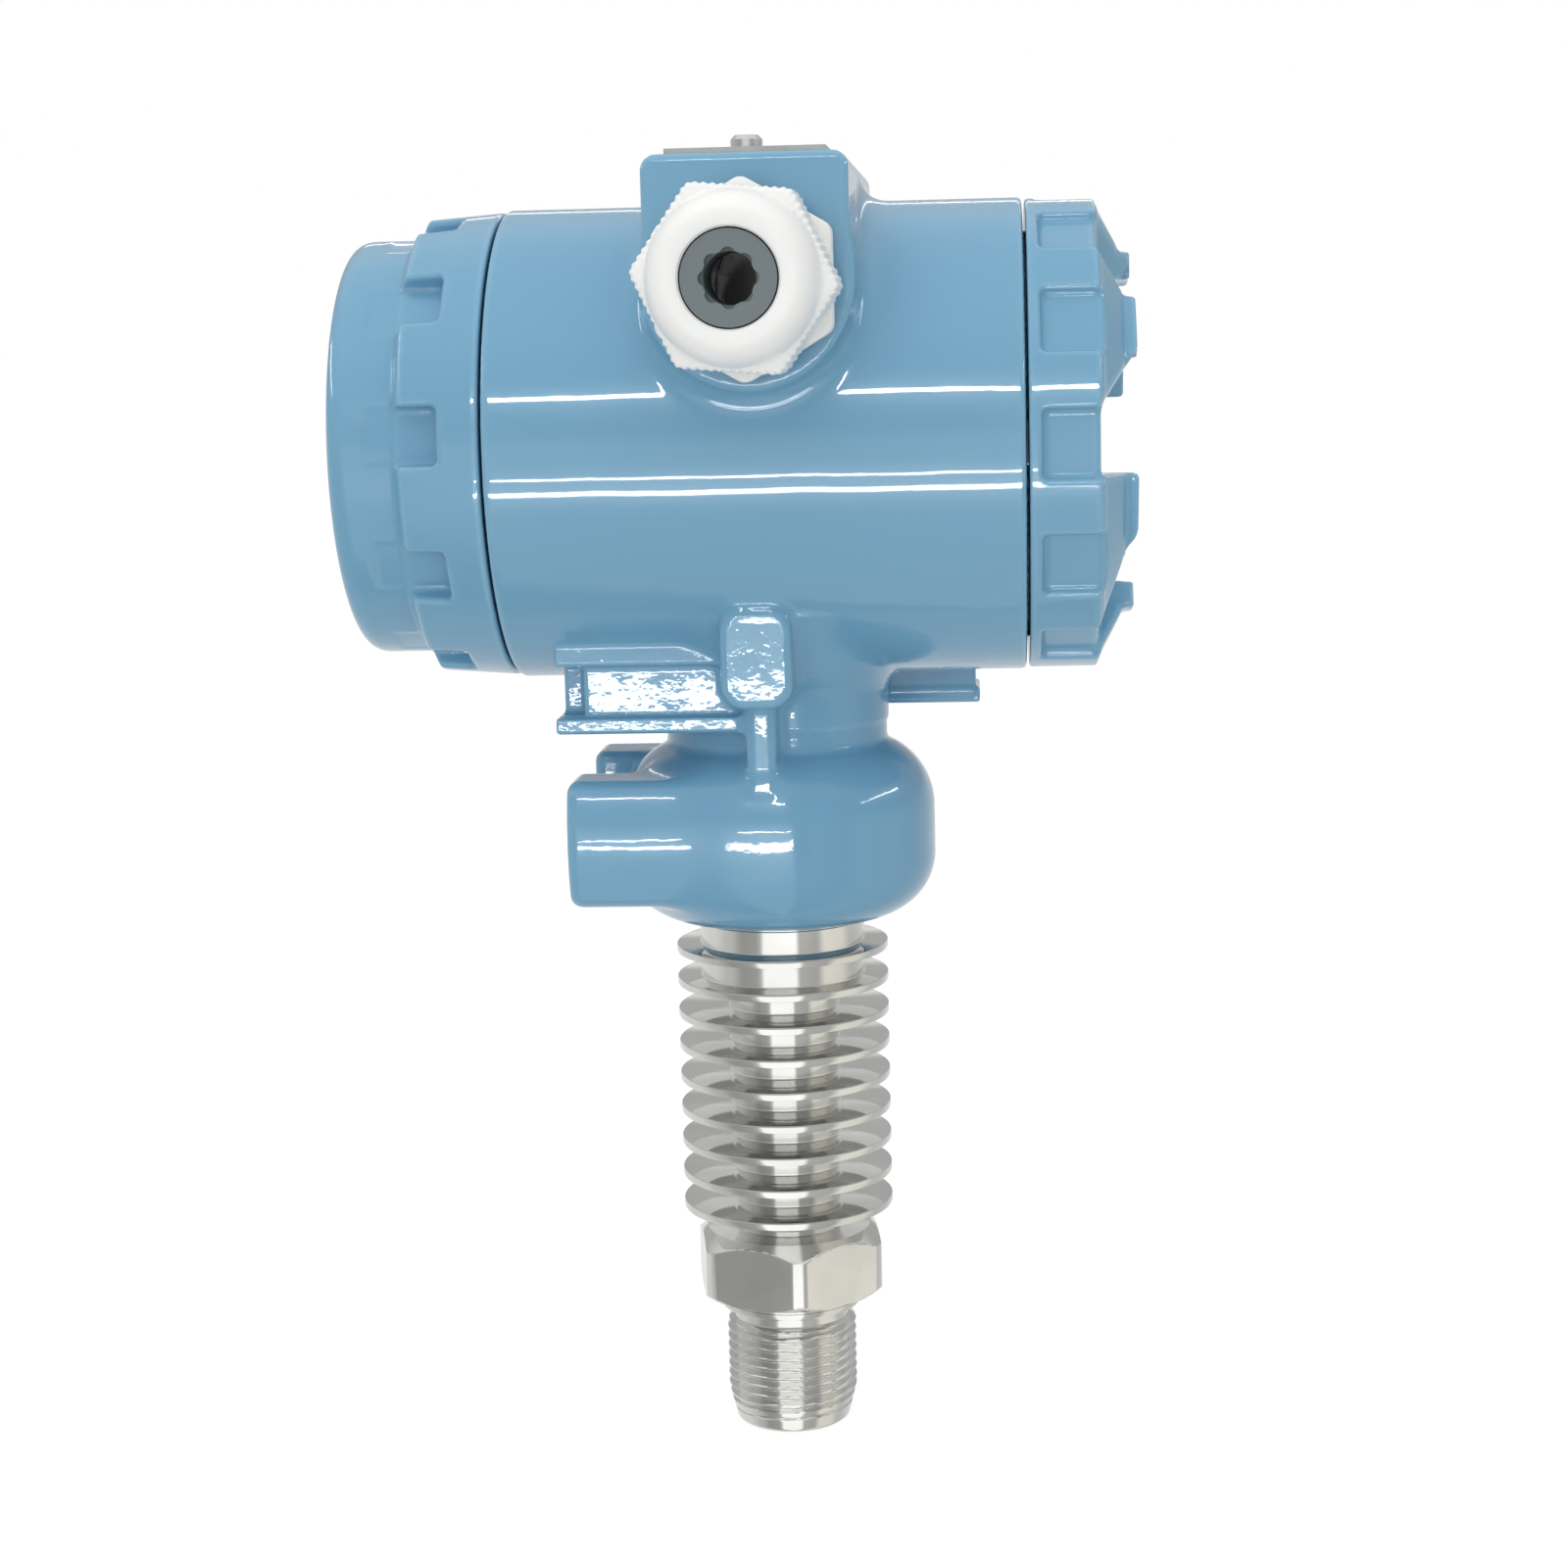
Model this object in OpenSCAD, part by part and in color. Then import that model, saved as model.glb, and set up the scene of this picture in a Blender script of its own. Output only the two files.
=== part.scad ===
// Pressure transmitter with a two compartment painted housing, a cable gland,
// a finned cooling neck and a screwed process connection.
// Millimetres. Z runs up the process thread, X along the barrel (display at -X), -Y is the gland side.
// The origin is on the thread axis, inside the full part of the thread.

/* [Barrel] */
// outside diameter of the barrel
body_d = 69; // [60:0.5:90]
// barrel length from seam to seam
body_len = 75.2; // [66:0.2:110]
// height of the barrel's underside above the bulb
neck_h = 9.8; // [6:0.1:20]
// wall of the barrel outside the cover threads
barrel_wall = 5; // [3:0.1:9]
// length of the cover thread bore
mouth_len = 13; // [10:0.5:18]
// step between the thread bore and the chamber
chamber_step = 1; // [0.5:0.1:3]
// thickness of the wall between the chambers
bulkhead_t = 3.6; // [2.5:0.1:8]
// distance of that wall from the thread axis
bulkhead_x = 16.2; // [14:0.1:20]
// visible gap between barrel and cover
seam_gap = 0.4; // [0.2:0.05:1]
// edge break on turned edges
edge = 0.6; // [0.2:0.1:1.2]
// room for each ring seal between cover and barrel, beside its own section
ring_room = 0.45; // [0.3:0.05:1]

/* [Conduit boss] */
// width of the boss
boss_w = 28.2; // [26:0.2:40]
// radius of the round lower end of the boss
boss_r = 14.7; // [14:0.1:20]
// height of the gland axis under the boss top
gland_drop = 17.1; // [15:0.1:26]
// height of the boss top over the barrel
boss_rise = 5.6; // [5:0.1:12]
// how far the boss faces stand out from the barrel's side
boss_proud = 2.3; // [1:0.1:10]
// radius of the upper boss corners
boss_round = 2.2; // [1:0.1:5]
// conduit entry thread diameter
entry_d = 20; // [16:0.5:26]

/* [Neck and lower casting] */
// neck diameter
neck_d = 33.2; // [28:0.2:44]
// wire passage through the neck
passage_d = 12; // [8:0.5:20]
// height where the neck starts to flare into the barrel
flare_z = 104.6; // [100:0.2:110]
// height where the flare ends inside the barrel wall
flare_top = 117.6; // [114:0.2:124]
// diameter of the flare where it ends
flare_d = 51; // [44:0.5:60]
// largest diameter of the bulb
bulb_d = 47.2; // [42:0.2:60]
// height of the bulb floor
bulb_z = 70; // [66:0.2:76]
// height of the bulb top
bulb_top = 97.1; // [92:0.1:104]
// lower corner radius of the bulb
bulb_low_r = 9.2; // [5:0.1:12]
// upper corner radius of the bulb
bulb_up_r = 10.9; // [6:0.1:13]
// radius of the round sides of the bracket ears
ear_r = 22.6; // [20:0.1:28]
// reach of the ears from the thread axis
ear_x = 29.5; // [26:0.5:40]
// height of the ear middle
ear_z = 84; // [78:0.2:90]
// ear height
ear_h = 18.8; // [14:0.2:24]
// gap between the two ears
ear_gap = 20.6; // [16:0.2:28]
// depth of that gap from the ear ends
ear_gap_len = 14; // [8:0.5:20]
// corner radius of the ear ends
ear_round = 2; // [1:0.1:4]
// tapping diameter of the bracket holes
bracket_d = 6.8; // [5:0.1:10]
// depth of the bracket holes
bracket_len = 12; // [8:0.5:16]
// distance of the bracket holes from the middle plane
bracket_y = 15.9; // [14:0.1:20]

/* [Side rails] */
// reach of each side rail from the thread axis
rail_x = 30.6; // [26:0.2:38]
// distance of the rail face from the middle plane
rail_y = 20.3; // [18:0.1:26]
// rail depth
rail_d = 11; // [6:0.5:14]
// depth of the lowest rail face under the barrel's underside
rail_drop = 6.5; // [4:0.1:10]
// thickness of the lower flange
rail_low_t = 2.3; // [1.5:0.1:4]
// height where the upper flange begins
rail_up_z = 110.2; // [106:0.2:114]
// thickness of the upper flange
rail_up_t = 4; // [2:0.1:7]
// set back of the web behind the flanges
rail_sink = 1.5; // [0.5:0.1:3]
// length of the open pocket at the rail end
pocket_len = 4; // [2:0.1:8]
// depth of that pocket
pocket_d = 5.5; // [2:0.1:9]
// width of the stop block
block_w = 10.2; // [8:0.1:16]
// offset of the block middle from the thread axis
block_x = 0.9; // [0:0.1:4]
// distance of the block face from the middle plane
block_y = 27; // [24:0.1:32]
// height of the block floor
block_z = 104.4; // [100:0.2:110]
// block height
block_h = 14.8; // [10:0.2:20]
// corner radius of the block
block_round = 3.4; // [1:0.1:5]
// width of the rib under the block
rib_w = 4.4; // [3:0.1:8]
// offset of the rib middle from the thread axis
rib_x = 0.8; // [0:0.1:4]
// distance of the rib face from the middle plane
rib_y = 22; // [18:0.1:24]
// height of the foot of the rib
rib_z = 90.4; // [86:0.2:96]

/* [Cover threads and seals] */
// length of the cover spigots
spigot_len = 11; // [8:0.5:16]
// wall of the terminal cover's spigot
cap_wall = 2.95; // [2:0.05:5]
// section of the ring seals
oring_t = 2.3; // [1.6:0.1:4]

/* [Display cover] */
// set back of the cover ring from the barrel at the seam
ring_inset = 0.3; // [0:0.1:2]
// taper of the ring, on the radius
ring_taper = 0.8; // [0.2:0.1:3]
// length of the ring
ring_len = 11; // [8:0.2:18]
// length of the conical step
step_len = 2; // [1:0.1:5]
// set back of the front barrel, on the radius
front_step = 4; // [2.5:0.1:6]
// length of the whole cover outside the seam
display_len = 22.6; // [18:0.2:36]
// corner radius of the front edge
front_round = 1.8; // [1:0.1:4]
// width of the front lip over the window
lip_w = 4; // [2:0.1:8]
// wall of the display cover's spigot
spigot_wall = 2.45; // [1.6:0.05:4]
// thickness of the front lip
lip_t = 2.7; // [2:0.1:5]
// number of grip notches
notch_n = 10; // [6:1:16]
// width of a grip notch
notch_w = 8.2; // [4:0.1:12]
// length of a grip notch along the ring
notch_len = 5; // [3:0.1:9]
// turn of the notch row
notch_turn = 5; // [0:1:35]
// inner corner radius of a notch
notch_round = 0.9; // [0.4:0.1:2]
// play of the window glass in its bore, on the radius
glass_play = 0.3; // [0.1:0.05:0.6]
// window glass thickness
glass_t = 6; // [4:0.5:10]
// window gasket thickness
gasket_t = 0.6; // [0.4:0.1:2]
// thickness of the window ring nut
nut_t = 3.4; // [2:0.1:6]
// width of the window ring nut
nut_w = 3; // [2:0.1:6]
// width of the key slots in that nut
key_slot_w = 2.4; // [1:0.1:4]

/* [Terminal cover] */
// set back of the terminal cover from the barrel at the seam
cap_inset = 0.2; // [0:0.1:2]
// length of the round rim
cap_len = 10.2; // [8:0.2:18]
// height of the floor between the teeth
cap_floor = 9.8; // [8:0.2:17]
// depth inside the cover
cap_inner = 6.4; // [4:0.2:14]
// set back of the tooth flank foot
flank_inset = 1.1; // [0.5:0.1:3]
// run of the tooth flank, on the radius
flank_run = 6.9; // [3:0.1:10]
// width of the tooth tops
tooth_w = 4.1; // [2:0.1:7]
// height of the flank top
flank_h = 13.8; // [11:0.1:22]
// height of the tooth tops
tooth_h = 15.3; // [12:0.1:24]
// number of teeth
tooth_n = 6; // [4:1:8]
// distance of the steep side of a slot from its middle
slot_low = 4.6; // [2:0.1:8]
// distance of the ramp foot of a slot from its middle
slot_up = 5; // [2:0.1:8]
// sideways run of the ramp
ramp_run = 7.4; // [3:0.1:10]
// number of grip recesses
recess_n = 12; // [6:1:18]
// width of a grip recess
recess_w = 9.6; // [4:0.1:13]
// depth of a grip recess
recess_t = 1.6; // [0.6:0.1:3]
// height where the recesses begin
recess_start = 1.8; // [1:0.1:4]

/* [Cable gland] */
// gland thread length
gland_thread_len = 9; // [6:0.5:14]
// width across flats of gland body and nut
gland_af = 24; // [20:0.5:30]
// how much the turned hexagon corners stand out of the flats, on the diameter
corner_out = 3.1; // [1:0.1:3.6]
// thickness of the gland hexagon
gland_hex_t = 5; // [3:0.5:8]
// diameter of the gland sleeve
sleeve_d = 19; // [15:0.2:24]
// length of the gland sleeve
sleeve_len = 10.6; // [6:0.2:16]
// bore of the gland
gland_bore = 13; // [8:0.2:18]
// seat washer thickness
washer_t = 1.2; // [0.8:0.1:2]
// gap between gland hexagon and nut
nut_gap = 1; // [0.6:0.1:3]
// length of the serrated nut hexagon
nut_hex_len = 13.4; // [8:0.2:18]
// length of the domed nose
dome_len = 7.4; // [4:0.2:12]
// diameter of the flat at the tip of the dome
dome_tip_d = 17; // [13.5:0.2:22]
// bore of the dome mouth
dome_bore = 12.8; // [8:0.2:18]
// turn of the nut
nut_turn = 5; // [0:1:59]
// teeth on each flat of the nut
serration_n = 12; // [6:1:16]
// depth of the serration
serration_t = 0.26; // [0.1:0.02:0.6]
// hole in the cable seal
seal_hole = 6.8; // [4:0.1:12]
// length of the cable seal
seal_len = 13; // [8:0.5:20]
// number of lobes round the seal hole
lobe_n = 8; // [5:1:12]
// size of the lobes
lobe_d = 2; // [1:0.1:3]

/* [Blanking plug] */
// width across flats of the plug
plug_af = 22; // [18:0.5:28]
// head thickness of the plug
plug_t = 5; // [3:0.5:9]
// key socket width across flats
plug_key_af = 10; // [6:0.5:14]

/* [Adjustment cover plate] */
// plate width
plate_w = 22; // [16:0.5:27]
// set back of the plate ends from the boss faces
plate_inset = 2.8; // [1:0.1:6]
// plate thickness
plate_t = 0.8; // [0.5:0.1:2]
// distance of the screws from the plate ends
screw_inset = 4; // [3:0.1:7]
// screw thread diameter
plate_screw_d = 2.5; // [2:0.1:4]
// screw head diameter
plate_head_d = 4.4; // [3.5:0.1:7]
// screw head height
plate_head_h = 1.7; // [1:0.1:3]
// length of the screws under the plate
plate_screw_len = 5; // [3:0.5:6]
// push button diameter
button_d = 6; // [4:0.1:9]
// push button length
button_len = 5.4; // [3:0.1:8]
// distance of the buttons from the middle
button_y = 9; // [6:0.5:14]
// depth of the button bores
button_bore_len = 8; // [5:0.5:9]
// play of a button in its bore
button_play = 0.1; // [0.05:0.05:0.3]

/* [Electronics] */
// room round the potted electronics
module_room = 3.5; // [2:0.1:6]
// thickness of the potted electronics
module_t = 12.4; // [8:0.2:16]
// room round the circuit board
board_room = 3; // [2:0.1:6]
// circuit board thickness
board_t = 1.6; // [1:0.1:2.4]
// spacer length
spacer_len = 6.6; // [4:0.2:12]
// spacer diameter
spacer_d = 5; // [4:0.1:8]
// distance of the spacers from the edge of the electronics
spacer_inset = 5.5; // [4:0.1:8]
// room round the display bezel
bezel_room = 5.5; // [4.5:0.1:7]
// display bezel thickness
bezel_t = 6; // [4:0.2:10]
// distance of the display from the screw beside it
lcd_side = 4.5; // [3.5:0.1:9]
// display height
lcd_h = 17; // [10:0.5:24]
// display thickness
lcd_t = 2; // [1:0.1:3]
// display height above the barrel axis
lcd_up = 1.5; // [0:0.1:4]
// board screw diameter
screw_d = 3; // [2:0.1:4]
// depth of the board screws in the potted electronics
screw_bite = 6; // [3:0.5:8]
// board screw head diameter
screw_head_d = 5.4; // [4:0.1:7]
// board screw head height
screw_head_h = 1.8; // [1:0.1:3]

/* [Terminals] */
// terminal block width
tb_w = 38; // [24:0.5:46]
// terminal block height
tb_h = 18; // [12:0.5:26]
// terminal block thickness
tb_t = 10; // [6:0.5:14]
// height of the block middle above the barrel axis
tb_up = 2; // [0:0.5:8]
// number of terminal screws
terminal_n = 3; // [2:1:4]
// spacing of the terminal screws
terminal_pitch = 11; // [8:0.5:14]
// terminal screw head diameter
terminal_head_d = 7; // [4:0.1:8]
// terminal screw head height
terminal_head_h = 2.4; // [1:0.1:4]
// terminal screw thread diameter
terminal_screw_d = 3.5; // [2:0.1:5]
// length of the terminal screws in the block
terminal_len = 7; // [4:0.5:9]
// distance of the inner earth screw from the chamber's side and floor
earth_inset = 13.5; // [11:0.1:18]
// length of the earth screws in the casting
earth_len = 2.6; // [2:0.1:3]
// lead diameter
lead_d = 3.2; // [2:0.1:5]
// distance of the lead passage from the chamber's floor
lead_rise = 6.1; // [4:0.1:10]
// diameter of the lead bush
bush_d = 5.4; // [4:0.1:8]
// length of the outside earth screw in its block
clamp_len = 8; // [5:0.5:12]
// thickness of the outside earth clamp
clamp_t = 1.6; // [1:0.1:3]
// outside earth clamp size
clamp_w = 9; // [7:0.1:14]

/* [Process connector] */
// process thread diameter
thread_d = 20; // [14:0.5:30]
// lowest point of the thread
thread_low = 10.2; // [8:0.2:16]
// length of the tapered nose under the thread
nose_len = 5.2; // [1:0.2:8]
// depth of the nose and the relief groove under the thread, on the radius
thread_cut = 1.3; // [0.8:0.1:3]
// top of the thread above the datum
thread_top = 6.4; // [4:0.2:12]
// relief groove height
relief_t = 1.9; // [1:0.1:3]
// how far the shoulder ring stands out of the thread
shoulder_out = 0.9; // [0.4:0.1:4]
// shoulder ring height
shoulder_t = 2.5; // [1:0.1:4]
// hexagon width across flats
hex_af = 27; // [20:0.5:40]
// how much the hexagon's bar stands out of the flats, on the diameter
bar_out = 3.2; // [1:0.1:4]
// hexagon height
hex_h = 10.1; // [7:0.1:16]
// how far the upper chamfer reaches inside the flats
cham_in = 0.9; // [0.2:0.1:3]
// height of the upper chamfer
hex_cham = 2.1; // [1:0.1:4]
// turn of the hexagon
hex_turn = 9.5; // [0:0.5:59.5]
// number of cooling fins
fin_n = 9; // [3:1:12]
// fin diameter
fin_d = 32.2; // [26:0.2:44]
// fin thickness
fin_t = 1.2; // [0.8:0.1:2]
// fin spacing
fin_pitch = 5.01; // [4:0.01:7]
// height of the middle of the lowest fin
fin_z = 24.9; // [22:0.1:30]
// core diameter between the fins
core_d = 16.8; // [12:0.2:24]
// height of the small step at the core foot
core_step_h = 1; // [0.4:0.1:1.6]
// diameter of that step
core_step_d = 18.4; // [13:0.2:25]
// core diameter in the two upper gaps
wide_core_d = 25; // [18:0.2:31]
// how far the collar stands out of the spigot
collar_out = 1.55; // [0.8:0.05:3]
// height of the collar foot
collar_z = 69.3; // [67:0.1:72]
// diameter of the spigot inside the casting
stem_d = 23.9; // [16:0.1:26]
// top of the spigot
stem_top = 86; // [80:0.5:92]
// pressure bore
port_d = 5; // [2:0.1:8]
// depth of the wide mouth of the pressure bore
port_mouth = 3; // [1:0.1:5]
// diameter of that mouth
port_mouth_d = 8; // [4:0.1:12]
// height of the sensor seat
sensor_z = 79; // [76:0.2:84]
// wall of the spigot round the sensor
sensor_wall = 2.95; // [2:0.05:5]
// sensor capsule length
sensor_len = 9; // [6:0.2:14]
// diaphragm thickness
diaphragm_t = 0.3; // [0.1:0.05:0.6]
// height of the stem seal
stem_seal_z = 74.6; // [73:0.1:77]
// section of the stem seal
stem_seal_t = 1.5; // [1:0.1:2.4]
// height of the lock screw
lock_z = 80; // [78:0.1:84]
// lock screw diameter
lock_d = 4; // [3:0.1:6]
// lock screw length
lock_len = 8; // [5:0.5:10]

/* [Fits] */
// clearance between pieces that only lie near each other
gap = 0.3; // [0.2:0.05:0.5]
// clearance between seated faces
seat = 0.02; // [0.01:0.01:0.05]
// play of turned pieces in their bores, on the diameter
play = 0.1; // [0.05:0.01:0.2]

/* [Hidden] */
round_fn = 96;
small_fn = 40;
over = edge;
half = body_len / 2;
body_r = body_d / 2;
barrel_z = bulb_top + neck_h;
axis_h = barrel_z + body_r;
mouth_d = body_d - 2 * barrel_wall;
spigot_d = mouth_d - play;
chamber_d = mouth_d - 2 * chamber_step;
seat_d = spigot_d + 2 * oring_t + 2 * ring_room;
seat_t = oring_t + gap - seam_gap;
boss_top = body_r + boss_rise;
boss_face = body_r + boss_proud;
boss_up = boss_top - gland_drop;
gland_z = axis_h + boss_up;
top_z = axis_h + boss_top;
rail_z = barrel_z - rail_drop;
ring_d = body_d - 2 * ring_inset;
ring_end_d = ring_d - 2 * ring_taper;
front_d = body_d - 2 * front_step;
window_bore = spigot_d - 2 * spigot_wall;
window_d = window_bore - 2 * lip_w;
nut_hole = window_bore - 2 * nut_w;
glass_d = window_bore - 2 * glass_play;
cover_bore = spigot_d - 2 * cap_wall;
cap_d = body_d - 2 * cap_inset;
flank_d = cap_d - 2 * flank_inset;
tooth_d = flank_d - 2 * flank_run;
tooth_in_d = tooth_d - 2 * tooth_w;
gland_thread_d = entry_d - 2 * play;
gland_corner_d = gland_af + corner_out;
seal_d = gland_bore - 2 * gap;
plate_len = 2 * (boss_face - plate_inset);
plate_screw_y = plate_len / 2 - screw_inset;
module_d = chamber_d - 2 * module_room;
board_d = chamber_d - 2 * board_room;
bezel_d = chamber_d - 2 * bezel_room;
spacer_r = module_d / 2 - spacer_inset;
lcd_w = 2 * (spacer_r - lcd_side);
earth_y = chamber_d / 2 - earth_inset;
earth_down = earth_y;
lead_down = chamber_d / 2 - lead_rise;
nose_d = thread_d - 2 * thread_cut;
relief_d = nose_d;
shoulder_d = thread_d + 2 * shoulder_out;
hex_bar_d = hex_af + bar_out;
hex_top_d = hex_af - 2 * cham_in;
collar_d = stem_d + 2 * collar_out;
sensor_d = stem_d - 2 * sensor_wall;
seam_x = half + seam_gap;
wall_low_x = bulkhead_x - bulkhead_t / 2;
wall_high_x = bulkhead_x + bulkhead_t / 2;
bulb_r = bulb_d / 2;
low_cx = bulb_r - bulb_low_r;
up_cx = bulb_r - bulb_up_r;
low_cz = bulb_z + bulb_low_r;
up_cz = bulb_top - bulb_up_r;
ear_low = ear_z - ear_h / 2;
ear_high = ear_z + ear_h / 2;
thread_r = spigot_d / 2;
oring_mid = (thread_r + seat_d / 2) / 2;
oring_x = half - seat_t + oring_t / 2 + seat;
glass_back = display_len - lip_t - gasket_t - seat * 2;
ring_nut_back = glass_back - glass_t - seat;
notch_floor = front_d / 2;
recess_floor = cap_d / 2 - recess_t;
hex_z = thread_top + relief_t + shoulder_t;
fin_top_z = fin_z + (fin_n - 1) * fin_pitch;
wide_from = fin_top_z - fin_pitch;
face_y = boss_face;
hex_from = washer_t + seat * 2;
nut_from = hex_from + gland_hex_t + nut_gap;
nut_hex_end = nut_from + nut_hex_len;
nut_end = nut_hex_end + dome_len;
seal_from = nut_end - seal_len - edge;
sleeve_end = hex_from + gland_hex_t + sleeve_len;
plate_z = top_z + seat;
module_x = wall_high_x + seat;
board_x = module_x + module_t + seat;
spacer_x = board_x + board_t + seat;
bezel_x = spacer_x + spacer_len + seat;
bezel_front = bezel_x + bezel_t;
tb_x = -wall_low_x + seat;
tb_z = axis_h + tb_up;
lead_z = axis_h - lead_down;
spacer_turns = [90, 210, 330];
stem_bore = stem_d + play;
capsule_top = sensor_z + diaphragm_t + sensor_len + 3 * seat;
stem_ceiling = max(stem_top, capsule_top) + 2 * edge;
swing_drop = pow(plate_w / 2, 2) / (4 * plate_screw_y);
slot_share = 0.55;
dome_steps = 8;
paint = "SteelBlue";
steel = "Silver";

// local z becomes +X, starting at the given distance along the barrel axis
module toward_terminals(x) {
  translate([x, 0, axis_h])
    rotate([0, 90, 0])
      children();
}

// local z becomes -X, starting at the given distance toward the display
module toward_display(x) {
  translate([-x, 0, axis_h])
    rotate([0, -90, 0])
      children();
}

// turns children about the barrel axis, outward is -Y and the turn goes up
module spoke(a) {
  translate([0, 0, axis_h])
    rotate([-a, 0, 0])
      children();
}

// local z becomes -Y, starting at the gland face of the boss
module from_gland_face(u) {
  translate([0, -face_y - u, gland_z])
    rotate([90, 0, 0])
      children();
}

// local z becomes +Y, starting at the rear face of the boss
module from_plug_face(u) {
  translate([0, face_y + u, gland_z])
    rotate([-90, 0, 0])
      children();
}

// hexagon prism with its corners turned down
module turned_hex(af, corner_d, h) {
  intersection() {
    cylinder(h = h, r = af / sqrt(3), $fn = 6);
    cylinder(h = h, d = corner_d, $fn = round_fn);
  }
}

// flat plate shape in XZ with rounded corners, pushed along Y
module rounded_slab(w, h, r, t) {
  rotate([90, 0, 0])
    linear_extrude(height = t)
      union() {
        translate([-w / 2 + r, -h / 2])
          square([w - 2 * r, h]);
        translate([-w / 2, -h / 2 + r])
          square([w, h - 2 * r]);
        for (i = [-1, 1])
          for (j = [-1, 1])
            translate([i * (w / 2 - r), j * (h / 2 - r)])
              circle(r = r, $fn = small_fn);
      }
}

// ring seal lying across the barrel axis
module ring_seal(mid_r, t) {
  rotate_extrude($fn = round_fn)
    translate([mid_r, 0])
      circle(d = t, $fn = small_fn);
}

module barrel() {
  toward_terminals(-half)
    rotate_extrude($fn = round_fn)
      polygon([[0, 0], [body_r - edge, 0], [body_r, edge], [body_r, body_len - edge],
        [body_r - edge, body_len], [0, body_len]]);
}

module boss() {
  translate([0, face_y, gland_z])
    rotate([90, 0, 0])
      cylinder(h = 2 * face_y, r = boss_r, $fn = round_fn);
  translate([-boss_w / 2, -face_y, gland_z])
    cube([boss_w, 2 * face_y, boss_top - boss_up - boss_round]);
  translate([-boss_w / 2 + boss_round, -face_y, gland_z])
    cube([boss_w - 2 * boss_round, 2 * face_y, boss_top - boss_up]);
  for (i = [-1, 1])
    translate([i * (boss_w / 2 - boss_round), face_y, top_z - boss_round])
      rotate([90, 0, 0])
        cylinder(h = 2 * face_y, r = boss_round, $fn = small_fn);
}

module bulb() {
  rotate_extrude($fn = round_fn)
    union() {
      translate([0, bulb_z])
        square([low_cx, up_cz - bulb_z]);
      translate([0, low_cz])
        square([bulb_r, up_cz - low_cz]);
      translate([0, low_cz])
        square([up_cx, bulb_top - low_cz]);
      intersection() {
        translate([low_cx, low_cz])
          circle(r = bulb_low_r, $fn = round_fn);
        translate([0, bulb_z])
          square([bulb_d, bulb_top - bulb_z]);
      }
      translate([up_cx, up_cz])
        circle(r = bulb_up_r, $fn = round_fn);
    }
}

module ears() {
  difference() {
    intersection() {
      translate([-ear_x, 0, ear_z])
        rotate([0, 90, 0])
          cylinder(h = ear_x, r = ear_r, $fn = round_fn);
      translate([-ear_x / 2 + ear_round, ear_r + over, ear_z])
        rounded_slab(ear_x + 2 * ear_round, ear_h, ear_round, 2 * ear_r + 2 * over);
    }
    translate([-ear_x - over, -ear_gap / 2, ear_low - over])
      cube([ear_gap_len + over, ear_gap, ear_h + 2 * over]);
  }
}

// flanged rail with an open pocket, stop block and rib, drawn on the gland side
module side_rail() {
  translate([-rail_x, -rail_y, rail_z])
    cube([rail_x, rail_d, rail_low_t]);
  translate([-rail_x, -rail_y, rail_up_z])
    cube([rail_x, rail_d, rail_up_t]);
  difference() {
    translate([-rail_x + edge, -rail_y + rail_sink, rail_z + rail_low_t / 2])
      cube([rail_x - edge, rail_d - rail_sink, rail_up_z + rail_up_t / 2 - rail_z - rail_low_t / 2]);
    translate([-rail_x - over, -rail_y - over, rail_z + rail_low_t])
      cube([pocket_len + over, pocket_d + over, rail_up_z - rail_z - rail_low_t]);
  }
  translate([-block_x, 0, block_z + block_h / 2])
    rounded_slab(block_w, block_h, block_round, block_y);
  translate([-rib_x - rib_w / 2, -rib_y, rib_z])
    cube([rib_w, rib_y / 2, block_z - rib_z + block_round]);
}

module plate_screw_holes() {
  for (i = [-1, 1])
    translate([0, i * plate_screw_y, top_z - plate_screw_len - gap])
      cylinder(h = plate_screw_len + gap + over, d = plate_screw_d + seat * 2, $fn = small_fn);
}

module button_bores() {
  for (i = [-1, 1])
    translate([0, i * button_y, top_z - button_bore_len])
      cylinder(h = button_bore_len + over, d = button_d + 2 * button_play, $fn = small_fn);
}

module chambers() {
  for (s = [0, 180])
    translate([0, 0, axis_h])
      rotate([0, 0, s])
        rotate([0, 90, 0])
          translate([0, 0, half - mouth_len])
            cylinder(h = mouth_len + over, d = mouth_d, $fn = round_fn);
  for (s = [0, 180])
    translate([0, 0, axis_h])
      rotate([0, 0, s])
        rotate([0, 90, 0])
          translate([0, 0, half - seat_t])
            cylinder(h = seat_t + over, d = seat_d, $fn = round_fn);
  toward_terminals(-wall_low_x)
    cylinder(h = half + wall_low_x, d = chamber_d, $fn = round_fn);
  toward_display(wall_high_x)
    cylinder(h = half - wall_high_x, d = chamber_d, $fn = round_fn);
}

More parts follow.
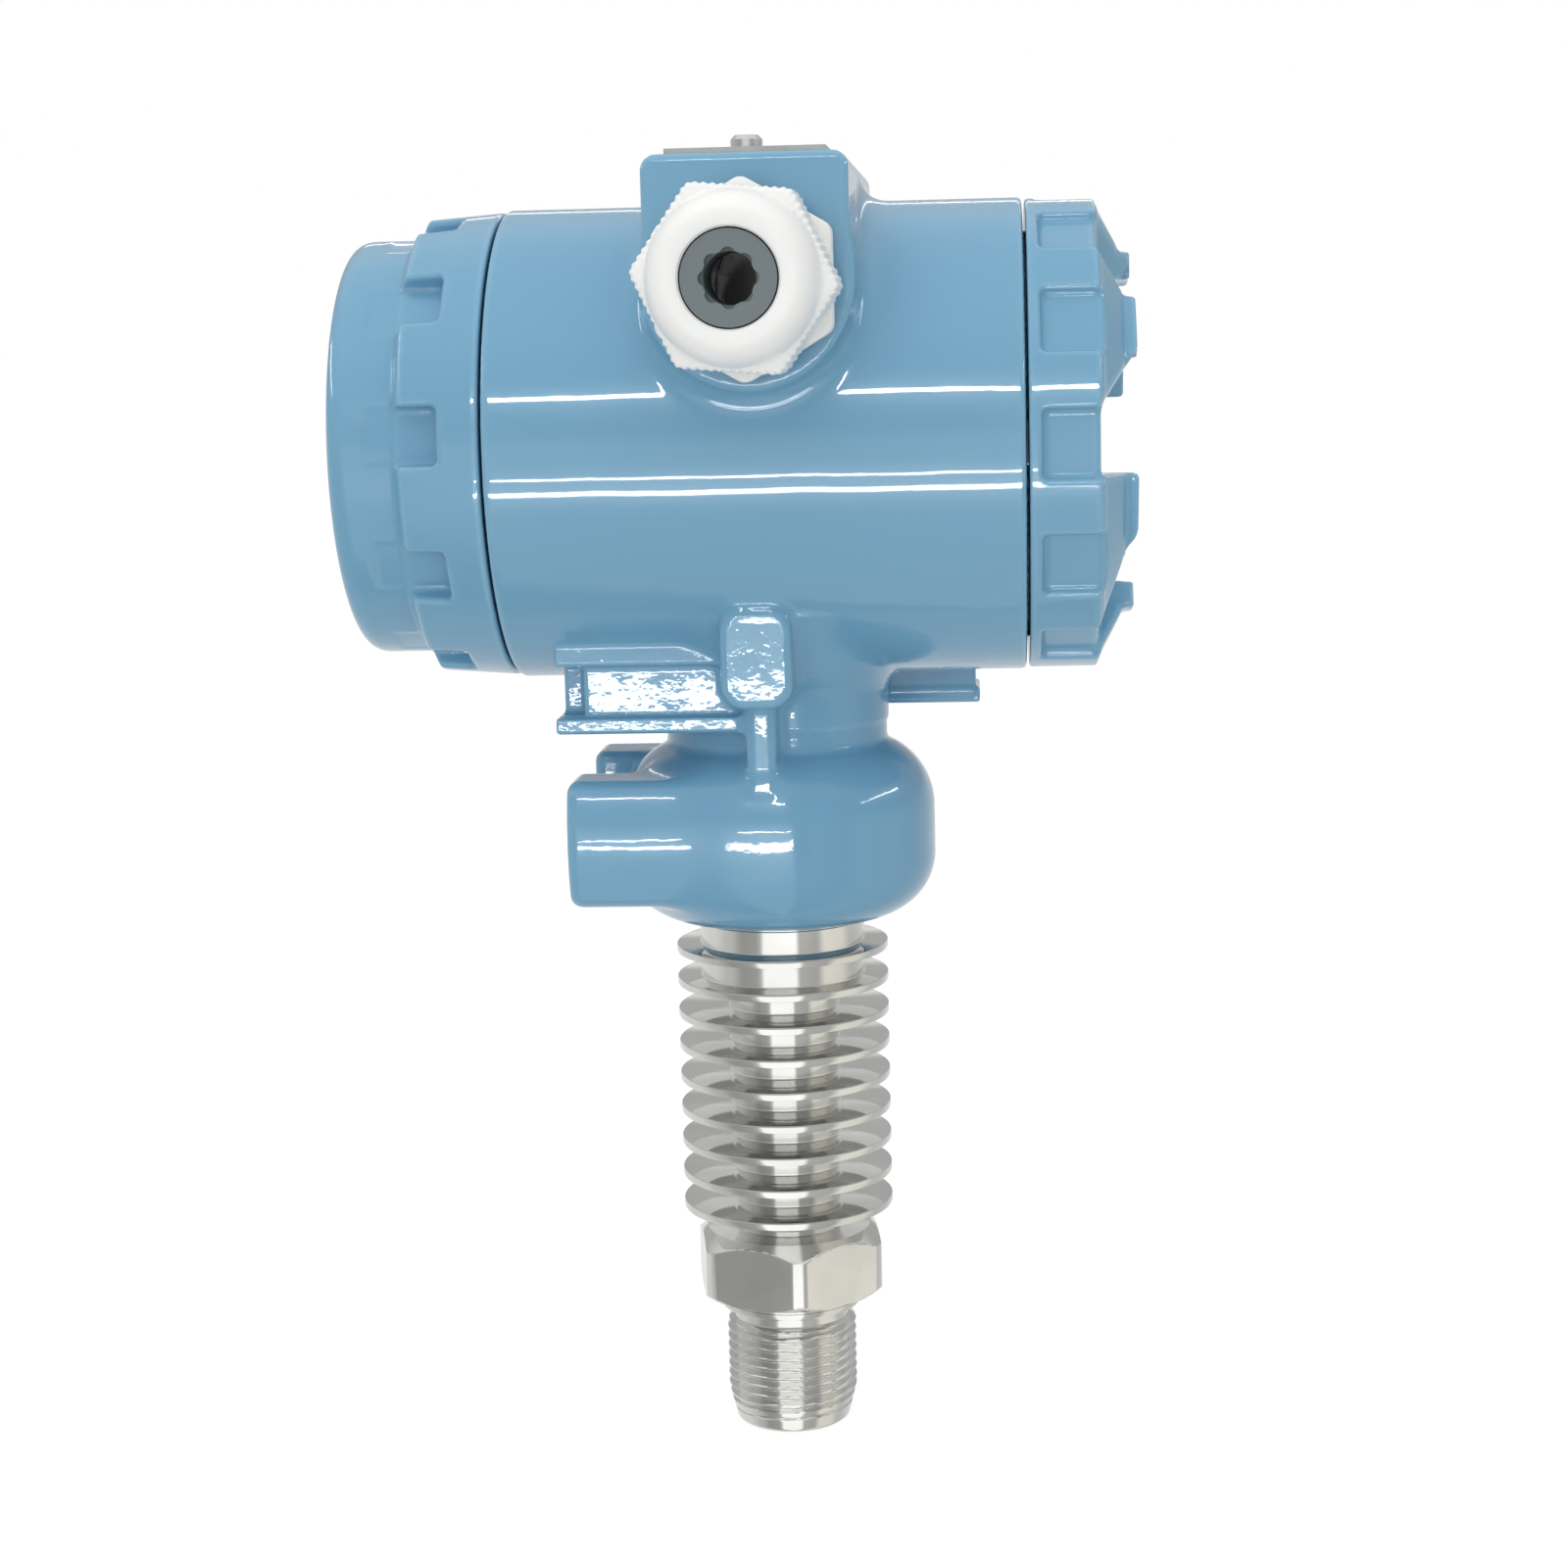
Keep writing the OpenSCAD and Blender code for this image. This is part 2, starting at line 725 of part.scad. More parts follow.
module housing_bores() {
  translate([0, face_y + over, gland_z])
    rotate([90, 0, 0])
      cylinder(h = 2 * face_y + 2 * over, d = entry_d, $fn = round_fn);
  cylinder(h = axis_h, d = passage_d, $fn = small_fn);
  translate([0, 0, bulb_z - over])
    cylinder(h = stem_ceiling - bulb_z + over, d = stem_bore, $fn = round_fn);
  translate([0, 0, bulb_z - over])
    cylinder(h = collar_z + fin_t + edge - bulb_z + over + gap, d = collar_d + 2 * gap, $fn = round_fn);
  for (i = [-1, 1])
    translate([-ear_x - over, i * bracket_y, ear_z])
      rotate([0, 90, 0])
        cylinder(h = bracket_len + over, d = bracket_d, $fn = small_fn);
  translate([0, 0, lock_z])
    rotate([-90, 0, 0])
      cylinder(h = bulb_r + over, d = lock_d + seat * 2, $fn = small_fn);
  toward_display(0)
    translate([-lead_down, 0, wall_low_x - over])
      cylinder(h = bulkhead_t + 2 * over, d = bush_d + seat * 2, $fn = small_fn);
  translate([-wall_low_x + over, earth_y, axis_h - earth_down])
    rotate([0, -90, 0])
      cylinder(h = earth_len + gap + over, d = terminal_screw_d + seat * 2, $fn = small_fn);
  translate([block_x, block_y + over, block_z + block_h / 2])
    rotate([90, 0, 0])
      cylinder(h = clamp_len + gap + over, d = terminal_screw_d + seat * 2, $fn = small_fn);
}

module housing() {
  color(paint)
    difference() {
      union() {
        barrel();
        boss();
        translate([0, 0, bulb_top - bulb_up_r])
          cylinder(h = flare_top - bulb_top + bulb_up_r, d = neck_d, $fn = round_fn);
        translate([0, 0, flare_z])
          cylinder(h = flare_top - flare_z, d1 = neck_d, d2 = flare_d, $fn = round_fn);
        bulb();
        ears();
        for (s = [0, 180])
          rotate([0, 0, s])
            side_rail();
      }
      chambers();
      housing_bores();
      plate_screw_holes();
      button_bores();
    }
}

module display_cover() {
  r = front_d / 2;
  color(paint)
    difference() {
      toward_display(seam_x)
        rotate_extrude($fn = round_fn)
          union() {
            polygon([[window_bore / 2, -spigot_len], [thread_r - edge, -spigot_len],
              [thread_r, -spigot_len + edge], [thread_r, 0], [ring_d / 2 - edge, 0],
              [ring_d / 2, edge], [ring_end_d / 2, ring_len], [r, ring_len + step_len],
              [r, display_len - front_round], [r - front_round, display_len - front_round],
              [r - front_round, display_len], [window_d / 2 + edge, display_len],
              [window_d / 2, display_len - edge], [window_d / 2, display_len - lip_t],
              [window_bore / 2, display_len - lip_t]]);
            translate([r - front_round, display_len - front_round])
              circle(r = front_round, $fn = small_fn);
          }
      for (i = [0:notch_n - 1])
        spoke(notch_turn + i * 360 / notch_n)
          translate([-seam_x - ring_len - step_len + notch_len / 2, -notch_floor, 0])
            rounded_slab(notch_len + 2 * step_len, notch_w, notch_round, ring_d / 2);
    }
}

module window_glass() {
  color("LightCyan", 0.5)
    toward_display(seam_x + glass_back - glass_t)
      cylinder(h = glass_t, d = glass_d, $fn = round_fn);
}

module window_gasket() {
  color("DimGray")
    toward_display(seam_x + glass_back + seat)
      difference() {
        cylinder(h = gasket_t, d = glass_d, $fn = round_fn);
        translate([0, 0, -over])
          cylinder(h = gasket_t + 2 * over, d = window_d + edge, $fn = round_fn);
      }
}

module window_ring() {
  color(steel)
    toward_display(seam_x + ring_nut_back - nut_t)
      difference() {
        cylinder(h = nut_t, d = window_bore - play, $fn = round_fn);
        translate([0, 0, -over])
          cylinder(h = nut_t + 2 * over, d = nut_hole, $fn = round_fn);
        for (a = [0, 90])
          rotate([0, 0, a])
            translate([-window_bore / 2, -key_slot_w / 2, -over])
              cube([window_bore, key_slot_w, nut_t / 2 + over]);
      }
}

module display_oring() {
  color("Black")
    toward_display(oring_x)
      ring_seal(oring_mid, oring_t);
}

module terminal_oring() {
  color("Black")
    toward_terminals(oring_x)
      ring_seal(oring_mid, oring_t);
}

module cap_blank() {
  toward_terminals(seam_x)
    rotate_extrude($fn = round_fn)
      polygon([[0, cap_inner], [cover_bore / 2, cap_inner], [cover_bore / 2, -spigot_len],
        [thread_r - edge, -spigot_len], [thread_r, -spigot_len + edge], [thread_r, 0],
        [cap_d / 2 - edge, 0], [cap_d / 2, edge], [cap_d / 2, cap_len - edge],
        [flank_d / 2, cap_len], [tooth_d / 2, flank_h], [tooth_d / 2, tooth_h - edge / 2],
        [tooth_d / 2 - edge / 2, tooth_h], [tooth_in_d / 2 + edge / 2, tooth_h],
        [tooth_in_d / 2, tooth_h - edge / 2], [tooth_in_d / 2, cap_floor], [0, cap_floor]]);
}

module tooth_slot() {
  rise = tooth_h - cap_floor;
  root_r = tooth_in_d / 2 - 4 * over;
  translate([seam_x + cap_floor, -root_r, 0])
    rotate([90, 0, 0])
      linear_extrude(height = cap_d / 2 - root_r + 2 * over)
        polygon([[0, -slot_low], [0, slot_up], [rise + over, slot_up + ramp_run + over],
          [rise + over, -slot_low]]);
}

module terminal_cover() {
  color(paint)
    difference() {
      cap_blank();
      for (i = [0:tooth_n - 1])
        spoke(i * 360 / tooth_n)
          tooth_slot();
      for (i = [0:recess_n - 1])
        spoke(i * 360 / recess_n)
          translate([seam_x + recess_start + cap_len / 2, -recess_floor, 0])
            rounded_slab(cap_len, recess_w, notch_round, cap_d / 2);
    }
}

module gland_body() {
  color("WhiteSmoke")
    from_gland_face(0)
      difference() {
        union() {
          translate([0, 0, -gland_thread_len])
            cylinder(h = gland_thread_len + hex_from + edge, d = gland_thread_d, $fn = round_fn);
          translate([0, 0, hex_from])
            rotate([0, 0, 30])
              turned_hex(gland_af, gland_corner_d, gland_hex_t);
          translate([0, 0, hex_from + gland_hex_t - edge])
            cylinder(h = sleeve_len + edge, d = sleeve_d, $fn = round_fn);
        }
        translate([0, 0, -gland_thread_len - over])
          cylinder(h = gland_thread_len + sleeve_end + 2 * over, d = gland_bore, $fn = round_fn);
      }
}

// zigzag outline of the serrated hexagon, one row of points for each flat
module serrated_hex() {
  flat_r = gland_af / 2;
  side = gland_af / sqrt(3);
  pts = [for (k = [0:5]) for (j = [0:2 * serration_n - 1])
    let (t = (j / (2 * serration_n) - 1 / 2) * side, d = flat_r - (j % 2) * serration_t, a = k * 60)
    [d * cos(a) - t * sin(a), d * sin(a) + t * cos(a)]];
  polygon(pts);
}

// quarter ellipse from the hexagon end to the flat tip
function dome_outline() = concat(
  [[0, nut_hex_end - edge], [gland_af / 2 - edge, nut_hex_end - edge]],
  [for (i = [0:dome_steps]) let (t = 90 * i / dome_steps)
    [dome_tip_d / 2 + (gland_af / 2 - edge - dome_tip_d / 2) * cos(t), nut_hex_end + dome_len * sin(t)]],
  [[0, nut_end]]);

module gland_nut() {
  color("White")
    from_gland_face(0)
      difference() {
        union() {
          intersection() {
            translate([0, 0, nut_from])
              rotate([0, 0, 30 - nut_turn])
                linear_extrude(height = nut_hex_len)
                  serrated_hex();
            translate([0, 0, nut_from])
              cylinder(h = nut_hex_len, d = gland_corner_d, $fn = round_fn);
          }
          rotate_extrude($fn = round_fn)
            polygon(dome_outline());
        }
        translate([0, 0, nut_from - over])
          cylinder(h = sleeve_end - nut_from + edge + over, d = sleeve_d + gap * 2, $fn = round_fn);
        translate([0, 0, nut_from])
          cylinder(h = nut_end - nut_from + over, d = dome_bore, $fn = round_fn);
      }
}

module gland_seal() {
  color("DimGray")
    from_gland_face(seal_from)
      difference() {
        cylinder(h = seal_len, d = seal_d, $fn = round_fn);
        translate([0, 0, -over])
          cylinder(h = seal_len + 2 * over, d = seal_hole, $fn = small_fn);
        for (i = [0:lobe_n - 1])
          rotate([0, 0, i * 360 / lobe_n])
            translate([seal_hole / 2 - lobe_d / 4, 0, seal_len - lobe_d])
              cylinder(h = lobe_d + over, d = lobe_d, $fn = small_fn);
      }
}

module washer(d_out) {
  difference() {
    cylinder(h = washer_t, d = d_out, $fn = round_fn);
    translate([0, 0, -over])
      cylinder(h = washer_t + 2 * over, d = entry_d + gap, $fn = round_fn);
  }
}

module gland_washer() {
  color("Black")
    from_gland_face(seat)
      washer(gland_af);
}

module blanking_plug() {
  color(steel)
    from_plug_face(0)
      difference() {
        union() {
          translate([0, 0, -gland_thread_len])
            cylinder(h = gland_thread_len + hex_from + edge, d = gland_thread_d, $fn = round_fn);
          translate([0, 0, hex_from])
            turned_hex(plug_af, plug_af + corner_out, plug_t);
        }
        translate([0, 0, hex_from + plug_t / 2])
          cylinder(h = plug_t, d = plug_key_af, $fn = 6);
      }
}

module plug_washer() {
  color("Black")
    from_plug_face(seat)
      washer(plug_af);
}

module cover_plate() {
  color(steel)
    difference() {
      translate([-plate_w / 2, -plate_len / 2, plate_z])
        cube([plate_w, plate_len, plate_t]);
      translate([0, -plate_screw_y, plate_z - over])
        cylinder(h = plate_t + 2 * over, d = plate_screw_d + gap, $fn = small_fn);
      translate([-plate_w, plate_screw_y - plate_screw_d / 2 - swing_drop - 3 * gap, plate_z - over])
        cube([plate_w + plate_screw_d / 2 + gap, plate_screw_d + swing_drop + 4 * gap,
          plate_t + 2 * over]);
    }
}

module pan_screw(d, len, head_d, head_h) {
  difference() {
    union() {
      translate([0, 0, -len])
        cylinder(h = len, d = d, $fn = small_fn);
      cylinder(h = head_h - edge, d = head_d, $fn = small_fn);
      translate([0, 0, head_h - edge])
        cylinder(h = edge, d1 = head_d, d2 = head_d - edge * 2, $fn = small_fn);
    }
    translate([-head_d / 2 - over, -head_h / 6, head_h * slot_share])
      cube([head_d + 2 * over, head_h / 3, head_h]);
  }
}

module plate_screws() {
  color(steel)
    for (i = [-1, 1])
      translate([0, i * plate_screw_y, plate_z + plate_t + seat])
        pan_screw(plate_screw_d, plate_screw_len, plate_head_d, plate_head_h);
}

module push_button(y) {
  translate([0, y, top_z - button_len - gap])
    cylinder(h = button_len, d = button_d, $fn = small_fn);
}

module zero_button() {
  color("Gold")
    push_button(-button_y);
}

module span_button() {
  color("Gold")
    push_button(button_y);
}

module electronics_module() {
  color("DarkSlateGray")
    toward_display(module_x)
      difference() {
        cylinder(h = module_t, d = module_d, $fn = round_fn);
        for (a = spacer_turns)
          rotate([0, 0, a])
            translate([spacer_r, 0, module_t - screw_bite - gap])
              cylinder(h = screw_bite + gap + over, d = screw_d + seat * 2, $fn = small_fn);
      }
}

module main_board() {
  color("DarkGreen")
    toward_display(board_x)
      difference() {
        cylinder(h = board_t, d = board_d, $fn = round_fn);
        for (a = spacer_turns)
          rotate([0, 0, a])
            translate([spacer_r, 0, -over])
              cylinder(h = board_t + 2 * over, d = screw_d + gap, $fn = small_fn);
      }
}

module board_spacers() {
  color(steel)
    for (a = spacer_turns)
      toward_display(spacer_x)
        rotate([0, 0, a])
          translate([spacer_r, 0, 0])
            difference() {
              cylinder(h = spacer_len, d = spacer_d, $fn = small_fn);
              translate([0, 0, -over])
                cylinder(h = spacer_len + 2 * over, d = screw_d + gap, $fn = small_fn);
            }
}

module display_bezel() {
  color("Black")
    toward_display(bezel_x)
      difference() {
        cylinder(h = bezel_t, d = bezel_d, $fn = round_fn);
        translate([lcd_up - lcd_h / 2, -lcd_w / 2, bezel_t - lcd_t - gap])
          cube([lcd_h, lcd_w, lcd_t + gap + over]);
        for (a = spacer_turns)
          rotate([0, 0, a])
            translate([spacer_r, 0, -over])
              cylinder(h = bezel_t + 2 * over, d = screw_d + gap, $fn = small_fn);
      }
}

module lcd_panel() {
  color("LightGray")
    toward_display(bezel_x + bezel_t - lcd_t - gap + seat)
      translate([lcd_up - lcd_h / 2 + play, -lcd_w / 2 + play, 0])
        cube([lcd_h - 2 * play, lcd_w - 2 * play, lcd_t]);
}

module board_screws() {
  color(steel)
    for (a = spacer_turns)
      toward_display(bezel_front + seat)
        rotate([0, 0, a])
          translate([spacer_r, 0, 0])
            pan_screw(screw_d, bezel_front - board_x + screw_bite, screw_head_d, screw_head_h);
}

module terminal_block() {
  color("Black")
    difference() {
      translate([tb_x, -tb_w / 2, tb_z - tb_h / 2])
        cube([tb_t, tb_w, tb_h]);
      for (i = [0:terminal_n - 1])
        translate([tb_x + tb_t - terminal_len - gap, (i - (terminal_n - 1) / 2) * terminal_pitch, tb_z])
          rotate([0, 90, 0])
            cylinder(h = terminal_len + gap + over, d = terminal_screw_d + seat * 2, $fn = small_fn);
    }
}

module terminal_screws() {
  color("Gold")
    for (i = [0:terminal_n - 1])
      translate([tb_x + tb_t + seat, (i - (terminal_n - 1) / 2) * terminal_pitch, tb_z])
        rotate([0, 90, 0])
          pan_screw(terminal_screw_d, terminal_len, terminal_head_d, terminal_head_h);
}

module inner_earth_screw() {
  color(steel)
    translate([-wall_low_x + seat, earth_y, axis_h - earth_down])
      rotate([0, 90, 0])
        pan_screw(terminal_screw_d, earth_len, terminal_head_d, terminal_head_h);
}

module outer_earth_screw() {
  color(steel)
    translate([block_x, block_y + clamp_t + seat * 2, block_z + block_h / 2])
      rotate([-90, 0, 0])
        pan_screw(terminal_screw_d, clamp_len, terminal_head_d, terminal_head_h);
}

module outer_earth_clamp() {
  color(steel)
    difference() {
      translate([block_x, block_y + clamp_t + seat, block_z + block_h / 2])
        rounded_slab(clamp_w, clamp_w, edge * 2, clamp_t);
      translate([block_x, block_y + clamp_t + seat + over, block_z + block_h / 2])
        rotate([90, 0, 0])
          cylinder(h = clamp_t + 2 * over, d = terminal_screw_d + gap, $fn = small_fn);
    }
}

module lead_bush() {
  color("DimGray")
    translate([-wall_low_x + edge, 0, lead_z])
      rotate([0, -90, 0])
        difference() {
          cylinder(h = bulkhead_t + edge, d = bush_d, $fn = small_fn);
          translate([0, 0, -over])
            cylinder(h = bulkhead_t + edge + 2 * over, d = lead_d + gap, $fn = small_fn);
        }
}

module sensor_leads() {
  color("Red")
    union() {
      translate([0, 0, capsule_top])
        cylinder(h = lead_z - capsule_top, d = lead_d, $fn = small_fn);
      translate([0, 0, lead_z])
        sphere(d = lead_d, $fn = small_fn);
      translate([0, 0, lead_z])
        rotate([0, -90, 0])
          cylinder(h = wall_high_x, d = lead_d, $fn = small_fn);
    }
}

module sensor_capsule() {
  color(steel)
    translate([0, 0, sensor_z + diaphragm_t + 2 * seat])
      difference() {
        cylinder(h = sensor_len, d = sensor_d - play, $fn = round_fn);
        translate([0, 0, sensor_len - edge])
          cylinder(h = edge + over, d = sensor_d / 2, $fn = round_fn);
      }
}

module diaphragm() {
  color(steel)
    translate([0, 0, sensor_z + seat])
      cylinder(h = diaphragm_t, d = sensor_d - play, $fn = round_fn);
}

module connector_turning() {
  rotate_extrude($fn = round_fn)
    polygon([[0, -thread_low], [nose_d / 2, -thread_low], [thread_d / 2, -thread_low + nose_len],
      [thread_d / 2, thread_top - edge], [relief_d / 2, thread_top],
      [relief_d / 2, thread_top + relief_t], [shoulder_d / 2, thread_top + relief_t],
      [shoulder_d / 2, hex_z + edge], [core_d / 2, hex_z + edge],
      [core_d / 2, collar_z + edge], [0, collar_z + edge]]);
}

module connector_hex() {
  low_d = hex_bar_d - 4 * edge;
  intersection() {
    translate([0, 0, hex_z])
      rotate([0, 0, hex_turn + 30])
        cylinder(h = hex_h, r = hex_af / sqrt(3), $fn = 6);
    translate([0, 0, hex_z])
      rotate_extrude($fn = round_fn)
        polygon([[0, 0], [low_d / 2, 0], [hex_bar_d / 2, edge], [hex_bar_d / 2, hex_h - hex_cham],
          [hex_top_d / 2, hex_h], [0, hex_h]]);
  }
}

module connector_fins() {
  for (i = [0:fin_n - 1])
    translate([0, 0, fin_z + i * fin_pitch - fin_t / 2]) {
      cylinder(h = fin_t, d = fin_d, $fn = round_fn);
      translate([0, 0, fin_t / 2 - core_step_h])
        cylinder(h = core_step_h, d = core_step_d, $fn = round_fn);
    }
  translate([0, 0, wide_from])
    cylinder(h = collar_z - wide_from + edge, d = wide_core_d, $fn = round_fn);
}

module connector_stem() {
  groove_d = stem_d - 2 * stem_seal_t - 4 * seat;
  difference() {
    union() {
      translate([0, 0, collar_z])
        cylinder(h = fin_t + edge, d = collar_d, $fn = round_fn);
      translate([0, 0, collar_z])
        cylinder(h = stem_top - collar_z - edge, d = stem_d, $fn = round_fn);
      translate([0, 0, stem_top - edge])
        cylinder(h = edge, d1 = stem_d, d2 = stem_d - 2 * edge, $fn = round_fn);
    }
    translate([0, 0, stem_seal_z - stem_seal_t / 2 - 2 * seat])
      difference() {
        cylinder(h = stem_seal_t + 4 * seat, d = stem_d + over, $fn = round_fn);
        translate([0, 0, -over])
          cylinder(h = stem_seal_t + 4 * seat + 2 * over, d = groove_d, $fn = round_fn);
      }
  }
}

module process_connector() {
  color(steel)
    difference() {
      union() {
        connector_turning();
        connector_hex();
        connector_fins();
        connector_stem();
      }
      translate([0, 0, -thread_low - over])
        cylinder(h = thread_low + sensor_z + over, d = port_d, $fn = small_fn);
      translate([0, 0, -thread_low - over])
        cylinder(h = port_mouth + over, d = port_mouth_d, $fn = small_fn);
      translate([0, 0, sensor_z])
        cylinder(h = stem_top - sensor_z + over, d = sensor_d, $fn = round_fn);
    }
}

module connector_seal() {
  color("Black")
    translate([0, 0, stem_seal_z])
      ring_seal(stem_d / 2 - stem_seal_t / 2 - seat, stem_seal_t);
}

module lock_screw() {
  y = stem_d / 2 + play;
  color(steel)
    translate([0, y, lock_z])
      rotate([-90, 0, 0])
        difference() {
          cylinder(h = lock_len, d = lock_d, $fn = small_fn);
          translate([0, 0, lock_len - lock_d / 2])
            cylinder(h = lock_d, d = lock_d / 2, $fn = 6);
        }
}

housing();
display_cover();
window_glass();
window_gasket();
window_ring();
display_oring();
terminal_cover();
terminal_oring();
gland_body();
gland_nut();
gland_seal();
gland_washer();
blanking_plug();
plug_washer();
cover_plate();
plate_screws();
zero_button();
span_button();
electronics_module();
main_board();
board_spacers();
display_bezel();
lcd_panel();
board_screws();
terminal_block();
terminal_screws();
inner_earth_screw();
outer_earth_screw();
outer_earth_clamp();
lead_bush();
sensor_leads();
sensor_capsule();
diaphragm();
process_connector();
connector_seal();
lock_screw();
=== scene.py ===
"""Dressed model of a field pressure transmitter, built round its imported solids.

Cast and moulded pieces are described as distance fields in millimetres, so that every
fillet has its real radius. Turned pieces are stacks of rings. All meshes are in metres.
"""

import logging
import math
from dataclasses import dataclass
from enum import Enum
from typing import Any, Callable, Sequence

import bpy
import numpy as np
from mathutils import Matrix, Vector


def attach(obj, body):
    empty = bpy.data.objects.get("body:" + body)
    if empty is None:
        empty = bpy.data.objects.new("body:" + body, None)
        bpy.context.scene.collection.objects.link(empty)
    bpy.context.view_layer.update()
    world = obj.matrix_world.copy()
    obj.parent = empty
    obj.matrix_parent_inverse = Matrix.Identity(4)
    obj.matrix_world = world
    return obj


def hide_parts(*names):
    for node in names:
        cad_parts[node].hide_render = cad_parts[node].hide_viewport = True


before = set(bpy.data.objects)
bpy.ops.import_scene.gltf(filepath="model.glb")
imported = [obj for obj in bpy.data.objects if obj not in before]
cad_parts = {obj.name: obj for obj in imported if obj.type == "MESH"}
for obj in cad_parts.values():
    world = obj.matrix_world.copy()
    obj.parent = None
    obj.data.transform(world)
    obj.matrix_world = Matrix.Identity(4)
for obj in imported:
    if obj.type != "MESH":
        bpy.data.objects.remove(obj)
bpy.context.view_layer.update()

log = logging.getLogger("transmitter")

MM = 0.001
IMAGE_SIDE = 1600
Array = np.ndarray
Node = bpy.types.Node
Piece = bpy.types.Object
Triple = Sequence[float]
Rows = list[tuple[Any, Any]]
Shape = Callable[[Array, Array, Array], Array]

# Places that several sub-assemblies share, in millimetres.
AXIS_Z = 141.4
BARREL_R = 34.5
HALF_LEN = 37.6
SEAM_X = 38.0
GLAND_Z = 164.4
BOSS_FACE = 36.8
TOP_Z = 181.5
SPIGOT_R = 29.45
# Point attribute of surface bend; the gloss paint uses it for its painted edge highlight.
EDGE = "edge_bend"


class Body(str, Enum):
    """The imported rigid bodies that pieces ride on."""

    FIXED = "transmitter"
    DISPLAY_CAP = "display_cap"
    TERMINAL_CAP = "terminal_cap"
    NUT = "clamping_nut"


class Role(Enum):
    """What a studio lamp is there for."""

    LIGHT = "lights surfaces"
    MIRRORED = "mirrors in the enamel"


class Along(Enum):
    """Directions in which a turned piece can lie, as (first, second, axial) unit vectors."""

    UP = ((1, 0, 0), (0, 1, 0), (0, 0, 1))
    TO_GLAND = ((1, 0, 0), (0, 0, 1), (0, -1, 0))


# ---------------------------------------------------------------- distance fields


def soft_min(a: Array, b: Array, k: float) -> Array:
    """Unites two fields with a fillet of about k."""
    h = np.clip(k - np.abs(a - b), 0.0, None) / k
    return np.minimum(a, b) - h * h * k / 4


def soft_max(a: Array, b: Array, k: float) -> Array:
    """Intersects two fields with a rounding of about k."""
    return -soft_min(-a, -b, k)


def carve(body: Array, tool: Array, k: float = 0.3) -> Array:
    """Takes the tool's field out of the body's, with its rim rounded by k."""
    return soft_max(body, -tool, k)


def slab(t: Array, low: float, high: float) -> Array:
    """Distance to the layer between two parallel planes."""
    return np.abs(t - (low + high) / 2) - (high - low) / 2


def rounded(*sides: Array, r: float = 0.0) -> Array:
    """Joins side distances into one convex field with outer edges of radius r.

    Args:
        sides: distances to pairs of faces that are square to each other.
        r: edge radius in millimetres.

    Returns:
        The distance to the rounded solid.
    """
    moved = [s + r for s in sides]
    outside = sum(np.maximum(m, 0.0) ** 2 for m in moved)
    inside = moved[0]
    for m in moved[1:]:
        inside = np.maximum(inside, m)
    return np.sqrt(outside) + np.minimum(inside, 0.0) - r


def box_field(x: Array, y: Array, z: Array, low: Triple, high: Triple, r: float = 0.0) -> Array:
    """Distance to a box with rounded edges."""
    return rounded(slab(x, low[0], high[0]), slab(y, low[1], high[1]), slab(z, low[2], high[2]), r=r)


def rod(u: Array, v: Array, w: Array, radius: float, low: float, high: float, r: float = 0.0) -> Array:
    """Distance to a rod along w, with its rims rounded by r."""
    return rounded(np.hypot(u, v) - radius, slab(w, low, high), r=r)


def slope(shape: Shape, p: Array, eps: float = 0.02) -> tuple[Array, Array]:
    """Value and gradient of a field.

    Args:
        shape: the field.
        p: points, one row each, in millimetres.
        eps: half the step of the differences.

    Returns:
        The field at each point and its gradient there.
    """
    g = np.empty_like(p)
    for k in range(3):
        q = p.copy()
        q[:, k] += eps
        up = shape(q[:, 0], q[:, 1], q[:, 2])
        q[:, k] -= 2 * eps
        g[:, k] = (up - shape(q[:, 0], q[:, 1], q[:, 2])) / (2 * eps)
    return shape(p[:, 0], p[:, 1], p[:, 2]), g


def settle(shape: Shape, p: Array, reach: float, rounds: int = 3) -> Array:
    """Moves points onto the field's surface.

    Args:
        shape: the field.
        p: points near the surface.
        reach: the furthest that a point may move in a round.
        rounds: how many times it is done.

    Returns:
        The settled points.
    """
    for _ in range(rounds):
        d, g = slope(shape, p)
        move = g * (d / np.maximum((g * g).sum(1), 0.2))[:, None]
        size = np.linalg.norm(move, axis=1)
        p = p - move * np.minimum(1.0, reach / np.maximum(size, 1e-9))[:, None]
    return p


def sharpness(shape: Shape, p: Array, reach: float = 0.4) -> Array:
    """How much the surface bends outward.

    Args:
        shape: the field.
        p: points on its surface, in millimetres.
        reach: how far round each point the bend is taken.

    Returns:
        0 where it is flat, up to 1 at an edge of half a millimetre.
    """
    x, y, z = p.T
    total = -6 * shape(x, y, z)
    for dx, dy, dz in np.concatenate([np.eye(3), -np.eye(3)]) * reach:
        total = total + shape(x + dx, y + dy, z + dz)
    return np.clip((total / reach ** 2 - 0.25) / 1.5, 0.0, 1.0)


CORNERS = np.array([[i, j, k] for i in (0, 1) for j in (0, 1) for k in (0, 1)])
EDGES = [(a, b) for a in range(8) for b in range(a + 1, 8) if np.abs(CORNERS[a] - CORNERS[b]).sum() == 1]


